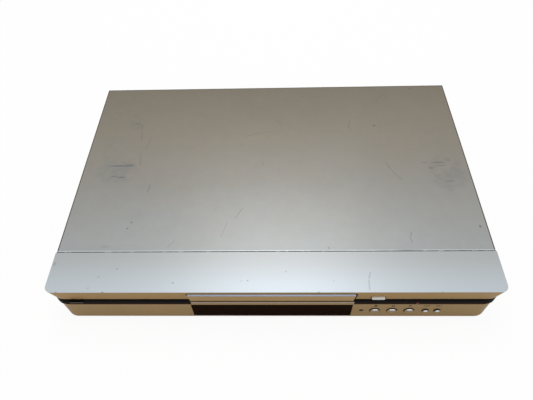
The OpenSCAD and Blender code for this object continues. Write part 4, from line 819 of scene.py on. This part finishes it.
# ---------------------------------------------------------------- Keys
# Five round domed keys in the lower band and the bar-shaped open key above the strip, moulded
# and plated in satin silver. Each sits in its own opening with a dark gap all round, deepened by
# painted shade in the bores and on the round keys' skirts.
small_from = 136.0
key_silver, where = new_finish("plated_key")
dome_brushed = noise(where, 0.8 * mm, 2.0)
# the two small keys, at the right-hand end, have their painted highlight reach further down the domes
small_pair = where.part("X").rise(small_from, 2)
# painted highlight on the domes' upper part, narrower at their sides, painted tan reflection below,
# painted shade on the skirts
highlight_band = (outward(where, "Z") + 0.16 * small_pair).ramp(0.26, 0.46)
dome_highlight = highlight_band * (0.4 + 0.6 * abs(outward(where, "X")).ramp(0.5, 0.2))
skirt_shade = outward(where, "Y").ramp(-0.5, -0.25)
dome_highlight_and_reflection = dome_highlight.blend(paint(150, 127, 92), paint(240, 246, 255))
set_finish(key_silver, {
    "Base Color": skirt_shade.blend(dome_highlight_and_reflection, paint(50, 41, 34)) * dome_brushed.blend(shade(0.95), shade(1.03)),
    "Metallic": 0.3,
    "Roughness": 0.26 + 0.06 * dome_brushed,
})
dress(key_silver, "stop_button", "pause_button", "play_button",
      "skip_back_button", "skip_forward_button")

# the open key's outer end is rolled over and drawn in a little, which widens the gap beside it
key_shoulder = -143.5
key_end = -144.0
end_share = 0.92
open_key = eased("open_button", "open_key_cap", "open_button_body",
                 [(0.4 * mm, 3, lambda a, b: min(a.y, b.y) < key_end * mm)])
key_middle = sum(corner[0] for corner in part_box("open_button")) / 2
for corner in open_key.data.vertices:
    if corner.co.y < key_shoulder * mm:
        corner.co.x = key_middle + (corner.co.x - key_middle) * end_share

bar_silver, where = new_finish("bar_silver")
bar_brushed = noise(where, 0.8 * mm, 2.0)
# the bar's top is painted lighter than its front, as a highlight
bar_top_highlight = outward(where, "Z").ramp(0.2, 0.5).blend(paint(190, 190, 188), paint(252, 254, 255))
set_finish(bar_silver, {
    "Base Color": bar_top_highlight * bar_brushed.blend(shade(0.95), shade(1.03)),
    "Metallic": 0.05,
    "Roughness": 0.26 + 0.06 * bar_brushed,
})
open_key.data.materials.append(bar_silver)


# ---------------------------------------------------------------- Key marks
# Plain signs for stop, pause, play and skip, pad-printed in dark ink on the lower band just
# above the round keys. The ink is a film a few hundredths thick and has worn a little.
def stuck_on(piece, outlines, face, proud, body):
    """Thin flat shapes laid on a front face: each outline is X, Z points in millimetres."""
    sunk = 0.05
    work = bmesh.new()
    for outline in outlines:
        front = [work.verts.new((x * mm, (face(z) - proud) * mm, z * mm)) for x, z in outline]
        back = [work.verts.new((x * mm, (face(z) + sunk) * mm, z * mm)) for x, z in outline]
        work.faces.new(front)
        work.faces.new(back[::-1])
        for i in range(len(outline)):
            k = (i + 1) % len(outline)
            work.faces.new((front[k], front[i], back[i], back[k]))
    bmesh.ops.recalc_face_normals(work, faces=work.faces)
    mesh = bpy.data.meshes.new(piece)
    work.to_mesh(mesh)
    work.free()
    made = placed(piece, mesh)
    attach(made, body)
    return made


def bar(x, z, wide, high):
    """An upright bar about a middle."""
    return [(x - wide / 2, z - high / 2), (x + wide / 2, z - high / 2),
            (x + wide / 2, z + high / 2), (x - wide / 2, z + high / 2)]


def arrow(x, z, wide, high):
    """A triangle about a middle, pointing right, or left where its width is negative."""
    return [(x - wide / 2, z - high / 2), (x + wide / 2, z), (x - wide / 2, z + high / 2)]


mark_z = 28.6
stop_mark = [bar(97.6, mark_z, 3.0, 3.4)]
pause_mark = [bar(x, mark_z, 1.0, 3.6) for x in (113.1, 114.8)]
play_mark = [arrow(130.3, mark_z, 3.2, 3.8)]
back_mark = [bar(143.0, mark_z, 0.6, 2.8)] + [arrow(x, mark_z, -2.0, 2.8) for x in (144.9, 147.0)]
forward_mark = [arrow(x, mark_z, 2.0, 2.8) for x in (155.3, 157.4)] + [bar(159.2, mark_z, 0.6, 2.8)]
marks = stop_mark + pause_mark + play_mark + back_mark + forward_mark
key_marks = stuck_on("key_marks", marks, lower_face, 0.02, "root")
mark_ink, where = new_finish("mark_ink")
thin_ink = noise(where, 0.6 * mm, 3.0)
set_finish(mark_ink, {
    "Base Color": thin_ink.blend(paint(30, 24, 17), paint(56, 45, 31)),
    "Roughness": 0.5 + 0.1 * thin_ink,
})
key_marks.data.materials.append(mark_ink)

# ---------------------------------------------------------------- Door felt
# Short matt black strips laid on the upper band at the ends of the drawer's opening, as painted
# shade in the gap beside the door. The right-hand one is wider and taller.
right_gap_shade = [(76.45, 37.5), (77.75, 37.5), (78.85, 47.9), (77.55, 47.9)]
left_gap_shade = [(-81.4, 45.6), (-80.75, 45.6), (-80.75, 47.9), (-81.4, 47.9)]
door_gap_shade = stuck_on("door_gap_shade", [right_gap_shade, left_gap_shade], upper_face, 0.12, "root")
gap_shade_black, where = new_finish("gap_shade_black")
gap_shade_grain = noise(where, 0.3 * mm, 2.0)
set_finish(gap_shade_black, {
    "Base Color": gap_shade_grain.blend(paint(10, 9, 8), paint(26, 24, 22)),
    "Roughness": 0.95,
    "Normal": bumped(gap_shade_grain, 0.05 * mm),
})
door_gap_shade.data.materials.append(gap_shade_black)

# ---------------------------------------------------------------- Tray door
# The front of the drawer, a moulding clipped to the tray and finished like the fascia, with silver
# ledges along its top and its foot and a painted warm reflection in champagne tan on its front.
# It stands a little proud of the fascia and its ends lean in.
door = eased("tray_door", "door_moulding", "tray", [(0.35 * mm, 3, lambda a, b: True)])
door.data.materials.append(fascia_silver_and_reflection)

# ---------------------------------------------------------------- Top cover
# One sheet of painted steel folded down over both sides and, as a short lip, at the back. The
# silver paint is scuffed, and it is painted lighter at the front as a highlight and darker and
# browner towards the back as shade.
cover_side = 214.5
rear_line = 140.4527


def on_side_bend(a, b):
    return at_top(a, b) and min(abs(a.x), abs(b.x)) > (cover_side - slack) * mm


def on_cover_rim(a, b):
    at_front = max(a.y, b.y) < (seam_line + slack) * mm
    at_back = min(a.y, b.y) > (rear_line - slack) * mm
    return at_top(a, b) and (at_front or at_back)


cover = eased("top_cover", "cover_sheet", "root",
              [(1.1 * mm, 4, on_side_bend), (0.45 * mm, 3, on_cover_rim)])

cover_silver, where = new_finish("cover_silver")

# the paint itself, painted as a highlight at the front and as brown shade at the back, in cloudy patches
cover_depth = 240.0
front_share = 0.415
blotches = noise(where, 60 * mm, 3.0)
back_shade_depth = where.part("Y") * (1.0 / (cover_depth * mm)) + front_share + blotches * 0.12 - 0.06
front_highlight_back_shade = back_shade_depth.node("ValToRGB", {"stops": [
    (0.04, paint(159, 162, 162)),
    (0.35, paint(144, 142, 136)),
    (0.65, paint(135, 129, 117)),
    (1.0, paint(120, 113, 99)),
]}, {"Fac": back_shade_depth})
cover_flakes = noise(where, 0.7 * mm, 2.0)
mottled = noise(where, 11 * mm, 4.0, 0.65).blend((0.94, 0.94, 0.93, 1), (1.05, 1.05, 1.06, 1))
tinted = noise(where, 42 * mm, 2.0).blend((0.97, 0.99, 1.01, 1), (1.03, 0.995, 0.96, 1))
cover_tone = front_highlight_back_shade * cover_flakes.blend(shade(0.92), shade(1.06)) * (mottled * tinted)

# scuffs and haze: the middle of each patch, half its width, half its depth and its strength
bristled = noise(where * (0.6, 1.6, 1.0), 3 * mm, 5.0, 0.75).ramp(0.34, 0.5)
scuffs = bristled * gathered(where, smudge, [
    ((-172, 11.5), 19, 1.8, 1.0), ((-163, 12.0), 8, 2.8, 1.0), ((-177, -3.6), 5, 1.5, 0.9),
    ((-169, -4.9), 7, 1.7, 1.0), ((-165.2, 78.0), 5.5, 3.0, 0.5), ((-167.4, -93.0), 6, 2.5, 0.2),
    ((182, 12.1), 9, 1.6, 0.9), ((167, 12.3), 5, 1.3, 0.5), ((173.4, 4.4), 4, 2.4, 0.7),
    ((184, 7.7), 8, 1.7, 0.6), ((193.7, 15.4), 3, 2.2, 0.6), ((189, -14.4), 8, 1.9, 0.6),
])
haze = noise(where, 9 * mm, 4.0, 0.6).ramp(0.34, 0.66) * gathered(where, smudge, [
    ((-178, 4), 30, 22, 0.3), ((190, -2), 24, 32, 0.34),
    ((-166, 82), 12, 20, 0.2), ((-188, 40), 16, 30, 0.16),
])
# hairlines: both ends, the width and the strength of each
hairlines = gathered(where, streak, [
    ((-159.8, 78.9), (-155.4, 49.4), 0.6, 0.4), ((-153.4, 33.4), (-150.0, 10.3), 0.6, 0.4),
    ((-144.0, 58.4), (-149.2, 35.3), 0.6, 0.3), ((-134.7, -14.5), (-136.0, -27.4), 0.8, 0.4),
    ((-35.8, 54.5), (3.2, 64.3), 0.7, 0.3), ((-1.4, 86.9), (12.4, 69.4), 0.6, 0.25),
    ((-10.8, 16.8), (-12.4, 9.4), 0.6, 0.4), ((-46.3, -62.8), (-52.6, -84.1), 0.6, 0.3),
    ((-31.3, -46.3), (-39.1, -61.3), 0.6, 0.35), ((-97.9, -86.0), (-105.0, -94.7), 0.6, 0.35),
    ((140.2, 126.9), (125.1, 111.2), 0.6, 0.35), ((91.3, 79.0), (88.5, 65.8), 0.8, 0.45),
    ((124.4, 14.4), (129.2, 1.8), 0.7, 0.45), ((128.8, 2.4), (139.4, -12.2), 0.7, 0.4),
    ((138.3, -76.6), (134.9, -84.7), 0.7, 0.4), ((134.9, -84.0), (136.9, -90.4), 0.7, 0.4),
])
dots = gathered(where, smudge, [
    ((-195.4, 98.9), 1.3, 1.0, 0.5), ((-190.4, 94.6), 1.3, 1.0, 0.5), ((-102.0, 79.0), 1.2, 1.0, 0.4),
    ((119.3, 70.0), 2.0, 1.3, 0.6), ((172.7, 134.8), 1.8, 1.1, 0.6), ((37.0, 122.8), 1.2, 0.9, 0.5),
    ((-146.1, -64.5), 1.3, 1.1, 0.6), ((-148.9, -71.8), 1.4, 1.2, 0.5), ((54.4, -95.5), 1.1, 0.9, 0.6),
    ((206.5, -71.5), 1.5, 2.2, 0.5),
])

# painted brown shade along the folds, a painted highlight at the joint's edge, painted shade in its groove
side_fold_from = 212.7
rear_fold_from = 138.6
edge_highlight_from = -97.5
joint_shade_from = -98.5
cover_height = where.part("Z")
cover_along = where.part("Y")
on_top = cover_height.rise(top_level - 0.5, 0.2)
side_fold = abs(where.part("X")).rise(side_fold_from, 0.6)
rear_fold = cover_along.rise(rear_fold_from, 0.6)
fold_shade = side_fold.most(rear_fold) * cover_height.rise(top_level - 3, 1)
edge_highlight = cover_along.rise(edge_highlight_from, -0.5) * noise(where, 40 * mm, 2.0).ramp(0.2, 0.5)
joint_groove_shade = cover_along.rise(joint_shade_from, -0.3) * cover_height.rise(top_level - 1.5, 0.4)
for mask, colour in (
    (scuffs.most(haze) * on_top * 0.7, paint(92, 98, 108)),
    (fold_shade * 0.95, paint(52, 38, 22)),
    (edge_highlight * on_top * 0.5, paint(226, 232, 238)),
    ((hairlines * 0.8).most(dots) * on_top, paint(70, 72, 76)),
    (joint_groove_shade * joint_shade_patches(where), joint_shade_black),
):
    cover_tone = mask.blend(cover_tone, colour)
set_finish(cover_silver, {
    "Base Color": cover_tone,
    "Metallic": 0.22,
    "Roughness": 0.34 + 0.06 * cover_flakes + 0.1 * scuffs,
    "Specular IOR Level": 0.3,
    "Normal": bumped(cover_flakes, 0.012 * mm, 0.4),
})
cover.data.materials.append(cover_silver)

# ---------------------------------------------------------------- Cover screws
# Black pan-headed screws, four along the back and two at each side, that hold the cover down
# to the rear plate and the chassis. They are zinc-plated black and rubbed brighter in places.
screw_black, where = new_finish("black_zinc")
rubbed = noise(where, 1.0 * mm, 3.0).ramp(0.55, 0.75)
set_finish(screw_black, {
    "Base Color": rubbed.blend(paint(30, 30, 31), paint(84, 84, 86)),
    "Metallic": 0.8,
    "Roughness": 0.34 + 0.14 * rubbed,
})
dress(screw_black, "cover_screws")
